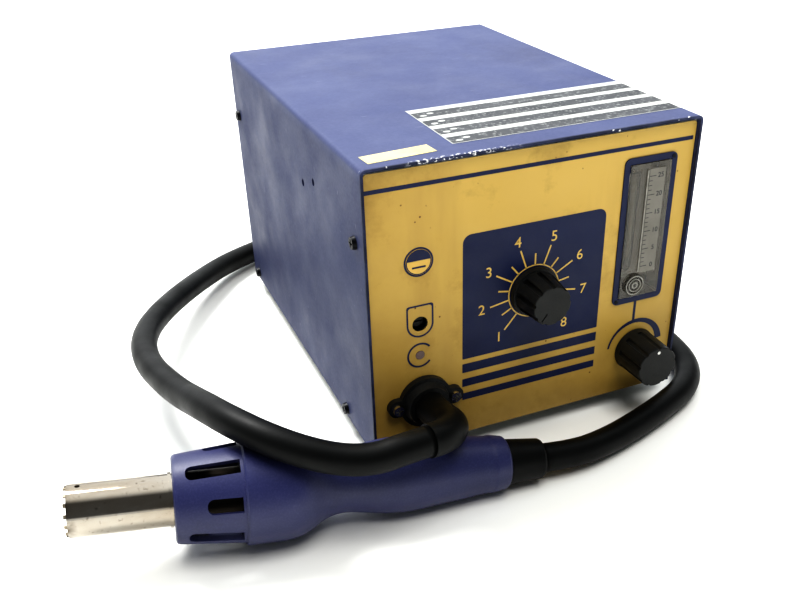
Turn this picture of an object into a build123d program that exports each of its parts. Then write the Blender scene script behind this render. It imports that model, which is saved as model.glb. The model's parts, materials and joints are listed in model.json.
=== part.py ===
"""Hot air station: a sheet-metal cabinet with its pump and controls, and a handpiece on an air hose.

Millimetres. Everything is drawn in the cabinet's own frame: X to the right, Y to the back, Z up,
with the cabinet's middle over x = y = 0, its front towards -Y and its feet on z = 0. When a piece is
written, it is moved by SHIFT_X and SHIFT_Y, which put the middle of cabinet and handpiece together
over the origin.
"""

import os
from math import atan2, cos, degrees, pi, radians, sin, tan

from build123d import *

os.makedirs("parts", exist_ok=True)

# ---- driving dimensions ----

SHIFT_X = 65.4
SHIFT_Y = 22.9

WIDTH = 160.0
DEPTH = 216.0
HEIGHT = 137.0
FOOT = 8.0
SHEET = 1.2
COVER_RADIUS = 2.5
SIDE_GAP = 0.3

PANEL_RECESS = 2.0
OVERLAY = 0.4
REAR_RECESS = 2.4
FLANGE_DEPTH = 13.0
TRAY_FLANGE = 12.0

M3 = 1.5
M3_CLEAR = 1.55
HOLDER_HOLE = 1.8
HOLDER_PITCH = 18.0
HOLDER_TILT = 19.0
HOLDER_Y = -34.0
HOLDER_Z = 115.5
SIDE_SCREWS = [(-97.0, 111.0), (-70.0, 12.5), (100.0, 111.0), (96.0, 12.5)]

HEAT_X, HEAT_Z = -0.3, 75.8
AIR_X, AIR_Z = 57.8, 31.2
# Each knob: the radius of its skirt, of its body at the back and at the face, and its height.
HEAT_KNOB = (11.8, 10.6, 9.2, 16.5)
AIR_KNOB = (11.0, 10.7, 10.4, 19.5)
KNOB_GAP = 0.5
SHAFT = 3.0
SHAFT_CLEAR = 0.05
BUSH = 4.6

BUTTON_X, BUTTON_Z = -55.8, 101.2
BUTTON_R = 5.8
BUTTON_GAP = 0.2
CAL_X, CAL_Z = -55.7, 71.7
CAL_R = 3.6
LAMP_X, LAMP_Z = -56.0, 56.2
LAMP_R = 2.1

METER_X, METER_Z = 56.0, 94.0
METER_W, METER_H = 21.4, 65.6
METER_DEPTH = 17.0
METER_FRAME_W, METER_FRAME_H = 27.4, 72.0
PLUG_X, PLUG_Z, PLUG_R = 52.7, 67.8, 5.2
BORE_X = 50.2
BORE_LOW, BORE_HIGH = 76.0, 122.0
BORE_R_LOW, BORE_R_HIGH = 2.15, 2.9
BALL_R = 2.05

HOSE_X, HOSE_Z = -54.5, 32.5
HOSE_R = 6.5
ELBOW_R = 7.2
ELBOW_BORE = 4.05
ELBOW_BEND = 17.0
ELBOW_ARM = 16.5
FLANGE_R = 12.6
EAR_PITCH = 28.0

TIP = (-210.0, -115.6, 29.8)
HEADING = -7.4
DIP = 5.55
GRIP_END = 182.0
GUARD_FRONT = 39.6
RIM = 67.0
PIPE_R = 10.7
PIPE_WALL = 0.8
SEAT_LENGTH = 38.0
BEAD = 0.6
SLOT_TURN = 21.5
BOOT_LENGTH = 17.0
HOSE_GAP = 0.4

INLET_X, REAR_Z = -46.0, 36.0
INLET_W, INLET_H = 27.4, 20.0
INLET_PITCH = 40.0
ROCKER_X = -4.0
SWITCH_W, SWITCH_H = 13.6, 19.6
ROCKER_HALF_W = 5.2
ROCKER_TILT = 10.0
FUSE_X = 30.0
FUSE_R = 6.2

FOOT_X, FOOT_PITCH = 64.0, 168.0
BOARD_AT = (30.0, -42.0)
BOARD_W, BOARD_L, BOARD_Z = 84.0, 66.0, 18.0
TRANSFORMER_AT = (-48.0, -44.0)
PUMP_X, PUMP_Y, PUMP_FLOOR = 4.0, 52.0, 17.0
ARM_PIVOT = (PUMP_X - 46.0, PUMP_Y + 20.0)
HEAD_X = PUMP_X + 30.0

FRONT_Y = -DEPTH / 2
OVERLAY_Y = FRONT_Y + PANEL_RECESS
PANEL_Y = OVERLAY_Y + OVERLAY
BEHIND_Y = PANEL_Y + SHEET
REAR_Y = DEPTH / 2 - REAR_RECESS
TOP_Z = FOOT + HEIGHT
INNER_X = WIDTH / 2 - SHEET - SIDE_GAP
FLOOR_Z = FOOT + SHEET
ROCKER_PIVOT_Y = REAR_Y - 4.0

# The grip's outline behind its barrel: distance from the mouth, and radius.
GRIP_OUTLINE = [
    (86.0, 21.4),
    (91.0, 20.2),
    (98.0, 16.2),
    (104.0, 13.9),
    (109.0, 13.5),
    (114.0, 14.0),
    (122.0, 15.3),
    (131.0, 16.2),
    (140.0, 16.0),
    (150.0, 14.9),
    (162.0, 13.7),
    (174.0, 12.6),
]

# The hose's route from the end of the elbow to the boot, outside the cabinet.
HOSE_ROUTE = [
    (-71.0, -148.6, 42.8),
    (-96.5, -153.0, 46.0),
    (-122.5, -149.0, 55.0),
    (-145.0, -134.0, 61.5),
    (-161.0, -109.0, 61.0),
    (-170.0, -77.0, 53.5),
    (-172.0, -38.0, 42.0),
    (-166.0, 5.0, 31.5),
    (-150.0, 50.0, 22.0),
    (-125.0, 93.0, 13.5),
    (-90.0, 128.0, 8.0),
    (-46.0, 151.0, 6.7),
    (3.0, 160.0, 6.7),
    (51.0, 154.0, 6.7),
    (92.0, 131.0, 6.7),
    (116.0, 91.0, 6.7),
    (125.0, 44.0, 6.7),
    (127.0, -3.0, 6.7),
    (125.0, -48.0, 6.7),
    (117.0, -88.0, 6.7),
    (99.0, -120.0, 6.7),
    (72.0, -140.0, 6.7),
    (41.0, -147.0, 6.8),
    (12.0, -144.4, 8.0),
]


# ---- planes and small helpers ----


def front(x, z, y=OVERLAY_Y):
    """A plane that faces the front, with x to the right and y up."""
    return Plane(origin=(x, y, z), x_dir=(1, 0, 0), z_dir=(0, -1, 0))


def back(x, z, y=REAR_Y):
    """A plane that faces the back."""
    return Plane(origin=(x, y, z), x_dir=(-1, 0, 0), z_dir=(0, 1, 0))


def side(y, z, sign, x=WIDTH / 2):
    """A plane that faces away from the left (-1) or right (+1) side."""
    return Plane(origin=(sign * x, y, z), x_dir=(0, sign, 0), z_dir=(sign, 0, 0))


def along(s):
    """The handpiece's own plane at the distance s from its mouth, facing its rear."""
    heading = radians(HEADING)
    dip = radians(DIP)
    axis = Vector(cos(heading) * cos(dip), sin(heading) * cos(dip), -sin(dip))
    across = Vector(sin(heading), -cos(heading), 0)
    return Plane(origin=Vector(*TIP) + axis * s, x_dir=across, z_dir=axis)


def around(s, angle, radius):
    """A plane on the handpiece that faces outwards, with x along the handpiece."""
    ring = along(s)
    out = ring.x_dir * cos(radians(angle)) + ring.y_dir * sin(radians(angle))
    return Plane(origin=ring.origin + out * radius, x_dir=ring.z_dir, z_dir=out)


def lengthwise():
    """The plane through the handpiece's axis, with x along the axis and y outwards."""
    ring = along(0)
    return Plane(origin=ring.origin, x_dir=ring.z_dir, z_dir=ring.y_dir)


def handpiece_axis():
    """The handpiece's axis, from its mouth to its rear."""
    ring = along(0)
    return Axis(ring.origin, ring.z_dir)


def save(piece, label):
    """Label a finished piece and write it in the object's frame."""
    piece.part.label = label
    placed = piece.part.moved(Location((SHIFT_X, SHIFT_Y, 0)))
    placed.label = label
    export_step(placed, f"parts/{label}.step")


def outline(plane, points):
    """A closed outline with straight sides, drawn on a plane."""
    with BuildSketch(plane) as face:
        with BuildLine():
            Polyline(*points, close=True)
        make_face()
    return face.sketch


# ---- cabinet sheets ----


def top_cover():
    """The painted cover: top and both sides in one sheet."""
    with BuildPart() as cover:
        with BuildSketch(front(0, FOOT, FRONT_Y)) as outside:
            with Locations((0, HEIGHT / 2)):
                Rectangle(WIDTH, HEIGHT)
            fillet(outside.vertices().group_by(Axis.Y)[-1], COVER_RADIUS)
        extrude(amount=-DEPTH)
        with BuildSketch(front(0, FOOT, FRONT_Y)) as inside:
            with Locations((0, (HEIGHT - SHEET) / 2)):
                Rectangle(WIDTH - 2 * SHEET, HEIGHT - SHEET)
            fillet(inside.vertices().group_by(Axis.Y)[-1], COVER_RADIUS - SHEET)
        extrude(amount=-DEPTH, mode=Mode.SUBTRACT)
        for sign in (-1, 1):
            for y, z in SIDE_SCREWS:
                with BuildSketch(side(y, z, sign)):
                    Circle(M3_CLEAR)
                extrude(amount=-2 * SHEET, mode=Mode.SUBTRACT)
        with BuildSketch(side(HOLDER_Y, HOLDER_Z, -1)):
            with PolarLocations(HOLDER_PITCH / 2, 2, start_angle=HOLDER_TILT):
                Circle(HOLDER_HOLE)
        extrude(amount=-2 * SHEET, mode=Mode.SUBTRACT)
    save(cover, "top_cover")


def chassis_tray():
    """The bottom sheet, with a low flange along each side and air slots under the pump."""
    length = REAR_Y - SHEET - BEHIND_Y - 2 * SIDE_GAP
    middle = (REAR_Y - SHEET + BEHIND_Y) / 2
    with BuildPart() as tray:
        with BuildSketch(Plane.XY.offset(FOOT)):
            with Locations((0, middle)):
                Rectangle(2 * INNER_X, length)
            with GridLocations(2 * FOOT_X, FOOT_PITCH, 2, 2):
                Circle(M3_CLEAR, mode=Mode.SUBTRACT)
            with Locations((PUMP_X, PUMP_Y)):
                with GridLocations(12, 0, 6, 1):
                    SlotOverall(36, 4, rotation=90, mode=Mode.SUBTRACT)
        extrude(amount=SHEET)
        for sign in (-1, 1):
            with BuildSketch(Plane.XY.offset(FOOT)):
                with Locations((sign * (INNER_X - SHEET / 2), middle)):
                    Rectangle(SHEET, length)
            extrude(amount=TRAY_FLANGE)
            for y, z in SIDE_SCREWS[1::2]:
                with BuildSketch(side(y, z, sign)):
                    Circle(M3_CLEAR)
                extrude(amount=-4 * SHEET, mode=Mode.SUBTRACT)
    save(tray, "chassis_tray")


def upright(face, y, direction):
    """Add a panel's plate and its two side flanges, which the upper cover screws go through."""
    with BuildSketch(face) as plate:
        with Locations((0, HEIGHT / 2 - SHEET)):
            Rectangle(2 * INNER_X, HEIGHT - 2 * SHEET)
    extrude(plate.sketch, amount=-SHEET)
    with BuildSketch(Plane.XY.offset(FOOT + TRAY_FLANGE + 2)) as flanges:
        with Locations((0, y + direction * FLANGE_DEPTH / 2)):
            with GridLocations(2 * INNER_X - SHEET, 0, 2, 1):
                Rectangle(SHEET, FLANGE_DEPTH)
    extrude(flanges.sketch, amount=HEIGHT - TRAY_FLANGE - 4)


def front_panel():
    """The front plate, behind the printed overlay."""
    with BuildPart() as panel:
        upright(front(0, FOOT, PANEL_Y), PANEL_Y, 1)
        for sign in (-1, 1):
            with BuildSketch(side(*SIDE_SCREWS[0], sign)):
                Circle(M3_CLEAR)
            extrude(amount=-4 * SHEET, mode=Mode.SUBTRACT)
        with BuildSketch(front(0, 0, PANEL_Y)):
            front_holes()
        extrude(amount=-2 * SHEET, mode=Mode.SUBTRACT)
    save(panel, "front_panel")


def front_holes():
    """The openings that the front plate and its overlay share."""
    with Locations((METER_X, METER_Z)):
        Rectangle(METER_W + 0.4, METER_H + 0.4)
    with Locations((BUTTON_X, BUTTON_Z)):
        Circle(BUTTON_R + BUTTON_GAP)
    with Locations((CAL_X, CAL_Z)):
        Circle(CAL_R)
    with Locations((LAMP_X, LAMP_Z)):
        Circle(LAMP_R + 0.1)
    with Locations((HEAT_X, HEAT_Z), (AIR_X, AIR_Z)):
        Circle(BUSH + 0.1)
    with Locations((HOSE_X, HOSE_Z)):
        Circle(ELBOW_R + 0.1)
        with GridLocations(EAR_PITCH, 0, 2, 1):
            Circle(M3_CLEAR)


def front_overlay():
    """The printed film that covers the front plate."""
    with BuildPart() as overlay:
        with BuildSketch(front(0, FOOT)):
            with Locations((0, HEIGHT / 2 - SHEET)):
                RectangleRounded(2 * INNER_X - 0.4, HEIGHT - 2 * SHEET - 0.4, 1.5)
        extrude(amount=-OVERLAY)
        with BuildSketch(front(0, 0)):
            front_holes()
        extrude(amount=-OVERLAY, mode=Mode.SUBTRACT)
    save(overlay, "front_overlay")


def rear_panel():
    """The back plate, with vents and the openings for the mains parts."""
    with BuildPart() as panel:
        upright(back(0, FOOT), REAR_Y, -1)
        for sign in (-1, 1):
            with BuildSketch(side(*SIDE_SCREWS[2], sign)):
                Circle(M3_CLEAR)
            extrude(amount=-4 * SHEET, mode=Mode.SUBTRACT)
        with BuildSketch(Plane(origin=(0, REAR_Y, 0), x_dir=(1, 0, 0), z_dir=(0, -1, 0))):
            with Locations((INLET_X, REAR_Z)):
                Rectangle(INLET_W + 0.4, INLET_H + 0.4)
                with GridLocations(INLET_PITCH, 0, 2, 1):
                    Circle(M3_CLEAR)
            with Locations((ROCKER_X, REAR_Z)):
                Rectangle(SWITCH_W + 0.2, SWITCH_H + 0.2)
            with Locations((FUSE_X, REAR_Z)):
                Circle(FUSE_R + 0.1)
            with Locations((0, 106)):
                with GridLocations(9, 26, 12, 2):
                    SlotOverall(20, 3.2, rotation=90)
        extrude(amount=-2 * SHEET, both=True, mode=Mode.SUBTRACT)
    save(panel, "rear_panel")


def feet():
    """Four rubber feet, each with a recess for its screw."""
    with BuildPart() as pads:
        with GridLocations(2 * FOOT_X, FOOT_PITCH, 2, 2):
            Cone(7.0, 8.5, FOOT, align=(Align.CENTER, Align.CENTER, Align.MIN))
            Cylinder(3.4, 5.0, align=(Align.CENTER, Align.CENTER, Align.MIN), mode=Mode.SUBTRACT)
            Cylinder(M3_CLEAR, FOOT, align=(Align.CENTER, Align.CENTER, Align.MIN), mode=Mode.SUBTRACT)
    save(pads, "feet")


def pan_screw(plane, head_r, head_h, length):
    """Add one M3 pan-head screw with a cross recess; the plane lies under its head."""
    with BuildSketch(plane) as head:
        Circle(head_r)
    extrude(head.sketch, amount=head_h, taper=12)
    with BuildSketch(plane) as shank:
        Circle(M3)
    extrude(shank.sketch, amount=-length)
    with BuildSketch(plane.offset(head_h)) as cross:
        Rectangle(1.25 * head_r, 0.3 * head_r)
        Rectangle(0.3 * head_r, 1.25 * head_r)
    extrude(cross.sketch, amount=-0.55 * head_h, mode=Mode.SUBTRACT)


def case_screws():
    """Black M3 screws: eight in the cover's sides, four in the feet and two beside the inlet."""
    with BuildPart() as screws:
        for sign in (-1, 1):
            for y, z in SIDE_SCREWS:
                pan_screw(side(y, z, sign), 3.0, 1.9, 6.0)
            for y in (-FOOT_PITCH / 2, FOOT_PITCH / 2):
                pan_screw(Plane(origin=(sign * FOOT_X, y, 5.0), z_dir=(0, 0, -1)), 2.9, 1.9, 8.0)
            pan_screw(back(INLET_X + sign * INLET_PITCH / 2, REAR_Z, REAR_Y + 2.4), 2.9, 1.9, 8.0)
    save(screws, "case_screws")


# ---- hose outlet on the front ----


def hose_flange():
    """The round bezel that clamps the hose, with an ear and a screw at each side."""
    with BuildPart() as flange:
        with BuildSketch(front(HOSE_X, HOSE_Z)):
            Circle(FLANGE_R)
            with GridLocations(EAR_PITCH, 0, 2, 1):
                Circle(4.2)
            Rectangle(EAR_PITCH, 8.4)
        extrude(amount=3.0)
        with BuildSketch(front(HOSE_X, HOSE_Z, OVERLAY_Y - 3.0)):
            Circle(FLANGE_R - 1.8)
        extrude(amount=3.5, taper=20)
        with BuildSketch(front(HOSE_X, HOSE_Z, OVERLAY_Y - 6.5)):
            Circle(ELBOW_R + 0.1)
            with GridLocations(EAR_PITCH, 0, 2, 1):
                Circle(M3_CLEAR)
        extrude(amount=-6.5, mode=Mode.SUBTRACT)
    save(flange, "hose_flange")


def flange_screws():
    """Two bright screws in the flange's ears."""
    with BuildPart() as screws:
        for sign in (-1, 1):
            plane = front(HOSE_X + sign * EAR_PITCH / 2, HOSE_Z, OVERLAY_Y - 3.0)
            pan_screw(plane, 2.9, 1.8, 10.0)
    save(screws, "flange_screws")


def hose_elbow():
    """The moulded rubber elbow that the hose comes out of: forwards, then to the left."""
    start = (HOSE_X, PANEL_Y + 9.0, HOSE_Z)
    outlet = (HOSE_X, OVERLAY_Y - 10.0, HOSE_Z)
    end = Vector(*HOSE_ROUTE[0])
    corner = end + (end - Vector(*HOSE_ROUTE[1])).normalized() * ELBOW_ARM
    with BuildPart() as elbow:
        with BuildLine() as path:
            FilletPolyline(start, outlet, corner, end, radius=[30.0, ELBOW_BEND])
        with BuildSketch(Plane(origin=path.line @ 0, z_dir=path.line % 0)):
            Circle(ELBOW_R)
            Circle(ELBOW_BORE, mode=Mode.SUBTRACT)
        sweep()
    save(elbow, "hose_elbow")


def elbow_nut():
    """The nut behind the front plate that holds the elbow."""
    with BuildPart() as nut:
        with BuildSketch(front(HOSE_X, HOSE_Z, BEHIND_Y)):
            RegularPolygon(12.0, 6)
            Circle(ELBOW_R + 0.1, mode=Mode.SUBTRACT)
        extrude(amount=-5.0)
    save(nut, "elbow_nut")


# ---- knobs and what they turn ----


def knob(x, z, label, sizes, pointer):
    """A fluted knob with a skirt, hollow over its nut; the pointer is a dot or a line on its face."""
    skirt, rear, face, height = sizes
    with BuildPart() as body:
        with BuildSketch(front(x, z, OVERLAY_Y - KNOB_GAP)):
            Circle(skirt)
        extrude(amount=2.2, taper=8)
        with BuildSketch(front(x, z, OVERLAY_Y - KNOB_GAP - 2.0)):
            Circle(rear)
        extrude(amount=height - 2.0, taper=degrees(atan2(rear - face, height - 2.0)))
        fillet(body.faces().sort_by(Axis.Y)[0].edges(), 0.6)
        with BuildSketch(front(x, z, OVERLAY_Y - KNOB_GAP - 3.0)):
            with PolarLocations(face + 0.55, 9, start_angle=10):
                Circle(1.3)
        extrude(amount=height, mode=Mode.SUBTRACT)
        with BuildSketch(front(x, z, OVERLAY_Y - KNOB_GAP)):
            Circle(6.9)
        extrude(amount=4.5, mode=Mode.SUBTRACT)
        with BuildSketch(front(x, z, OVERLAY_Y - KNOB_GAP)):
            Circle(SHAFT + 0.02)
        extrude(amount=height - 3.0, mode=Mode.SUBTRACT)
        with BuildSketch(front(x, z, OVERLAY_Y - KNOB_GAP - height)):
            if pointer == "dot":
                with Locations((0, face - 2.6)):
                    Circle(0.9)
            else:
                with Locations((-3.9, -4.9)):
                    SlotOverall(4.4, 0.7, rotation=52)
        extrude(amount=-0.4, mode=Mode.SUBTRACT)
    save(body, label)


def heat_shaft():
    """The potentiometer's shaft, flat on one side near its end."""
    with BuildPart() as shaft:
        with BuildSketch(front(HEAT_X, HEAT_Z, BEHIND_Y + 6.0)):
            Circle(SHAFT)
        extrude(amount=20.0)
        with BuildSketch(front(HEAT_X, HEAT_Z, OVERLAY_Y - 6.0)):
            with Locations((0, 2.6)):
                Rectangle(6.0, 1.4)
        extrude(amount=16.0, mode=Mode.SUBTRACT)
        with BuildSketch(front(HEAT_X, HEAT_Z, BEHIND_Y + 6.0)):
            Circle(5.5)
        extrude(amount=1.5)
    save(shaft, "heat_shaft")


def heat_potentiometer():
    """The potentiometer's can and bushing, hollow for the wiper on the shaft."""
    with BuildPart() as pot:
        with BuildSketch(front(HEAT_X, HEAT_Z, BEHIND_Y)):
            Circle(9.0)
        extrude(amount=-10.0)
        with BuildSketch(front(HEAT_X, HEAT_Z, BEHIND_Y + 2.0)):
            Circle(6.5)
        extrude(amount=-6.0, mode=Mode.SUBTRACT)
        with BuildSketch(front(HEAT_X, HEAT_Z, BEHIND_Y)):
            Circle(BUSH)
        extrude(amount=6.0)
        with BuildSketch(front(HEAT_X, HEAT_Z, BEHIND_Y + 4.0)):
            Circle(SHAFT + SHAFT_CLEAR)
        extrude(amount=12.0, mode=Mode.SUBTRACT)
        with BuildSketch(front(HEAT_X, HEAT_Z - 11.0, BEHIND_Y + 8.0)):
            with GridLocations(5, 0, 3, 1):
                Rectangle(1.4, 8.0)
        extrude(amount=0.6)
    save(pot, "heat_potentiometer")


def panel_nuts():
    """The two thin nuts under the knobs."""
    with BuildPart() as nuts:
        with BuildSketch(front(0, 0)):
            with Locations((HEAT_X, HEAT_Z), (AIR_X, AIR_Z)):
                RegularPolygon(6.2, 6)
                Circle(BUSH + 0.02, mode=Mode.SUBTRACT)
        extrude(amount=2.2)
    save(nuts, "panel_nuts")


def air_valve():
    """The needle valve's block, bushing and two barbs."""
    with BuildPart() as valve:
        with BuildSketch(front(AIR_X, AIR_Z, BEHIND_Y)):
            RectangleRounded(20.0, 20.0, 2.0)
        extrude(amount=-24.0)
        with BuildSketch(front(AIR_X, AIR_Z, BEHIND_Y)):
            Circle(BUSH)
        extrude(amount=6.0)
        with BuildSketch(Plane.XY.offset(AIR_Z + 10.0)):
            with Locations((AIR_X, BEHIND_Y + 20.0)):
                Circle(2.6)
        extrude(amount=8.0)
        with BuildSketch(back(AIR_X, AIR_Z, BEHIND_Y + 24.0)):
            Circle(2.6)
        extrude(amount=8.0)
        with BuildSketch(front(AIR_X, AIR_Z, BEHIND_Y - 6.0)):
            Circle(SHAFT + SHAFT_CLEAR)
        extrude(amount=-24.0, mode=Mode.SUBTRACT)
        with BuildSketch(front(AIR_X, AIR_Z, BEHIND_Y + 18.0)):
            Circle(1.3)
        extrude(amount=-14.0, mode=Mode.SUBTRACT)
        with BuildSketch(Plane.XY.offset(AIR_Z)):
            with Locations((AIR_X, BEHIND_Y + 20.0)):
                Circle(1.1)
        extrude(amount=18.0, mode=Mode.SUBTRACT)
    save(valve, "air_valve")


def air_valve_needle():
    """The valve's spindle, with a needle point at its inner end."""
    with BuildPart() as needle:
        with BuildSketch(front(AIR_X, AIR_Z, BEHIND_Y + 12.0)):
            Circle(SHAFT)
        extrude(amount=26.0)
        with BuildSketch(front(AIR_X, AIR_Z, BEHIND_Y + 12.0)):
            Circle(1.6)
        extrude(amount=-5.0, taper=12)
    save(needle, "air_valve_needle")


# ---- button, lamp and trimmer ----


def start_button():
    """The round button, held behind the front plate by its flange."""
    with BuildPart() as button:
        with BuildSketch(front(BUTTON_X, BUTTON_Z, BEHIND_Y + 1.2)):
            Circle(BUTTON_R + 1.2)
        extrude(amount=1.0)
        with BuildSketch(front(BUTTON_X, BUTTON_Z, BEHIND_Y + 0.2)):
            Circle(BUTTON_R)
        extrude(amount=2.0)
        with BuildSketch(front(BUTTON_X, BUTTON_Z, BEHIND_Y + 1.2)):
            Circle(2.0)
        extrude(amount=-1.6)
    save(button, "start_button")


def panel_board():
    """The small circuit board behind the front plate."""
    with BuildPart() as board:
        with BuildSketch(front(-56.5, 79.5, BEHIND_Y + 7.6)):
            Rectangle(25.0, 66.0)
            with GridLocations(19.0, 59.0, 2, 2):
                Circle(1.0, mode=Mode.SUBTRACT)
        extrude(amount=-1.6)
    save(board, "panel_board")


def board_posts():
    """Four round posts behind the front plate and four hexagonal ones under the main board."""
    with BuildPart() as posts:
        with BuildSketch(front(-56.5, 79.5, BEHIND_Y)):
            with GridLocations(19.0, 59.0, 2, 2):
                Circle(2.0)
        extrude(amount=-7.6)
        with BuildSketch(Plane.XY.offset(FLOOR_Z)):
            with Locations(BOARD_AT):
                with GridLocations(BOARD_W - 8, BOARD_L - 8, 2, 2):
                    RegularPolygon(3.2, 6)
        extrude(amount=BOARD_Z - FLOOR_Z)
    save(posts, "board_posts")


def power_lamp():
    """The lamp and its clear light guide."""
    with BuildPart() as lamp:
        with BuildSketch(front(LAMP_X, LAMP_Z, BEHIND_Y + 7.6)):
            Circle(2.9)
        extrude(amount=1.2)
        with BuildSketch(front(LAMP_X, LAMP_Z, BEHIND_Y + 6.4)):
            Circle(LAMP_R)
        extrude(amount=6.4 + SHEET + OVERLAY + 0.1)
    save(lamp, "power_lamp")


def panel_board_parts():
    """The push switch behind the button, and the calibration trimmer's case."""
    with BuildPart() as trimmer:
        with BuildSketch(front(BUTTON_X, BUTTON_Z, BEHIND_Y + 7.6)):
            Rectangle(6.2, 6.2)
        extrude(amount=3.2)
        with BuildSketch(front(BUTTON_X, BUTTON_Z, BEHIND_Y + 4.4)):
            Circle(1.7)
        extrude(amount=0.8)
        with BuildSketch(front(CAL_X, CAL_Z, BEHIND_Y + 7.6)):
            Rectangle(7.0, 7.0)
        extrude(amount=4.4)
        with BuildSketch(front(CAL_X, CAL_Z, BEHIND_Y + 3.2)):
            Circle(1.05)
        extrude(amount=-3.0, mode=Mode.SUBTRACT)
    save(trimmer, "panel_board_parts")


def cal_rotor():
    """The trimmer's slotted rotor, reached through the hole in the front."""
    with BuildPart() as rotor:
        with BuildSketch(front(CAL_X, CAL_Z, BEHIND_Y + 3.1)):
            Circle(2.6)
        extrude(amount=1.6)
        with BuildSketch(front(CAL_X, CAL_Z, BEHIND_Y + 3.1)):
            Circle(1.0)
        extrude(amount=-2.8)
        with BuildSketch(front(CAL_X, CAL_Z, BEHIND_Y + 1.5)):
            Rectangle(4.2, 0.8)
        extrude(amount=-0.8, mode=Mode.SUBTRACT)
    save(rotor, "cal_rotor")


# ---- flow meter ----


def flow_meter_body():
    """The clear block, with a slightly tapered upright bore and a port at each end of it."""
    face_y = OVERLAY_Y - 1.0
    bore_y = face_y + 6.0
    with BuildPart() as block:
        with BuildSketch(front(METER_X, METER_Z, face_y)):
            RectangleRounded(METER_W, METER_H, 1.0)
        extrude(amount=-METER_DEPTH)
        with BuildSketch(Plane(origin=(BORE_X, bore_y, 0), x_dir=(1, 0, 0), z_dir=(0, -1, 0))):
            with BuildLine():
                Polyline((0, BORE_LOW), (BORE_R_LOW, BORE_LOW), (BORE_R_HIGH, BORE_HIGH), (0, BORE_HIGH), close=True)
            make_face()
        revolve(axis=Axis((BORE_X, bore_y, 0), (0, 0, 1)), mode=Mode.SUBTRACT)
        for z in (BORE_LOW - 0.8, BORE_HIGH + 0.8):
            with BuildSketch(back(BORE_X, z, bore_y)):
                Circle(1.5)
            extrude(amount=METER_DEPTH, mode=Mode.SUBTRACT)
        with BuildSketch(front(PLUG_X, PLUG_Z, face_y)):
            Circle(PLUG_R + 0.05)
        extrude(amount=-3.0, mode=Mode.SUBTRACT)
        for z in (BORE_LOW - 0.8, BORE_HIGH + 0.8):
            with BuildSketch(back(BORE_X, z, face_y + METER_DEPTH)):
                Circle(2.6)
                Circle(1.5, mode=Mode.SUBTRACT)
            extrude(amount=7.0)
    save(block, "flow_meter_body")


def flow_plug():
    """The clear screwed plug at the meter's foot, with a thread's rings and a slot."""
    face_y = OVERLAY_Y - 1.0
    with BuildPart() as plug:
        with BuildSketch(front(PLUG_X, PLUG_Z, face_y + 3.0)):
            Circle(PLUG_R)
        extrude(amount=4.4)
        for radius in (4.2, 2.9, 1.6):
            with BuildSketch(front(PLUG_X, PLUG_Z, face_y - 1.4)):
                Circle(radius)
                Circle(radius - 0.6, mode=Mode.SUBTRACT)
            extrude(amount=-0.6, mode=Mode.SUBTRACT)
    save(plug, "flow_plug")


def flow_float():
    """The float: a small ball in the meter's bore."""
    with BuildPart() as ball:
        with Locations((BORE_X, OVERLAY_Y + 5.0, BORE_LOW + BALL_R + 0.3)):
            Sphere(BALL_R)
    save(ball, "flow_float")


def flow_scale():
    """The scale card on the right of the meter's face."""
    with BuildPart() as card:
        with BuildSketch(front(METER_X + 3.4, METER_Z + 4.6, OVERLAY_Y - 1.0)):
            RectangleRounded(8.4, 50.6, 0.5)
        extrude(amount=0.3)
    save(card, "flow_scale")


def flow_frame():
    """The flat frame round the meter."""
    with BuildPart() as frame:
        with BuildSketch(front(METER_X, METER_Z)):
            RectangleRounded(METER_FRAME_W, METER_FRAME_H, 3.0)
            Rectangle(METER_W + 0.4, METER_H + 0.4, mode=Mode.SUBTRACT)
        extrude(amount=0.6)
    save(frame, "flow_frame")


# ---- electronics ----


def main_board():
    """The main circuit board."""
    with BuildPart() as board:
        with BuildSketch(Plane.XY.offset(BOARD_Z)):
            with Locations(BOARD_AT):
                Rectangle(BOARD_W, BOARD_L)
                with GridLocations(BOARD_W - 8, BOARD_L - 8, 2, 2):
                    Circle(M3_CLEAR, mode=Mode.SUBTRACT)
        extrude(amount=1.6)
    save(board, "main_board")


def board_components():
    """Capacitors, relay, chips, terminals and the triac on the main board."""
    x, y = BOARD_AT
    top = BOARD_Z + 1.6
    with BuildPart() as components:
        for dx, dy, radius, height in ((-30, 18, 5.0, 12.5), (-18, 20, 4.0, 11.0), (-30, 4, 3.2, 8.0)):
            with BuildSketch(Plane.XY.offset(top)):
                with Locations((x + dx, y + dy)):
                    Circle(radius)
            extrude(amount=height)
        for dx, dy, w, d, h in (
            (-8, -18, 20, 16, 14),
            (12, -22, 12, 7, 3.6),
            (-26, -20, 8, 8, 9),
            (31, 4, 8, 34, 11),
            (-4, 4, 9, 7, 3.4),
        ):
            with BuildSketch(Plane.XY.offset(top)):
                with Locations((x + dx, y + dy)):
                    Rectangle(w, d)
            extrude(amount=h)
        with BuildSketch(Plane.XY.offset(top + 6.4)):
            with Locations((x + 10, y + 14.2)):
                Rectangle(10, 4.6)
        extrude(amount=15)
        with BuildSketch(Plane.XY.offset(top)):
            with Locations((x + 10, y + 14.2)):
                with GridLocations(2.54, 0, 3, 1):
                    Rectangle(1.0, 0.6)
        extrude(amount=6.4)
    save(components, "board_components")


def heat_sink():
    """The triac's finned heat sink, on the main board."""
    x, y = BOARD_AT[0] + 10, BOARD_AT[1] + 18
    with BuildPart() as sink:
        with BuildSketch(Plane.XY.offset(BOARD_Z + 1.6)):
            with Locations((x, y)):
                Rectangle(24, 3)
                with Locations((0, 5)):
                    with GridLocations(4.4, 0, 6, 1):
                        Rectangle(1.4, 9)
        extrude(amount=26)
    save(sink, "heat_sink")


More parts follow.
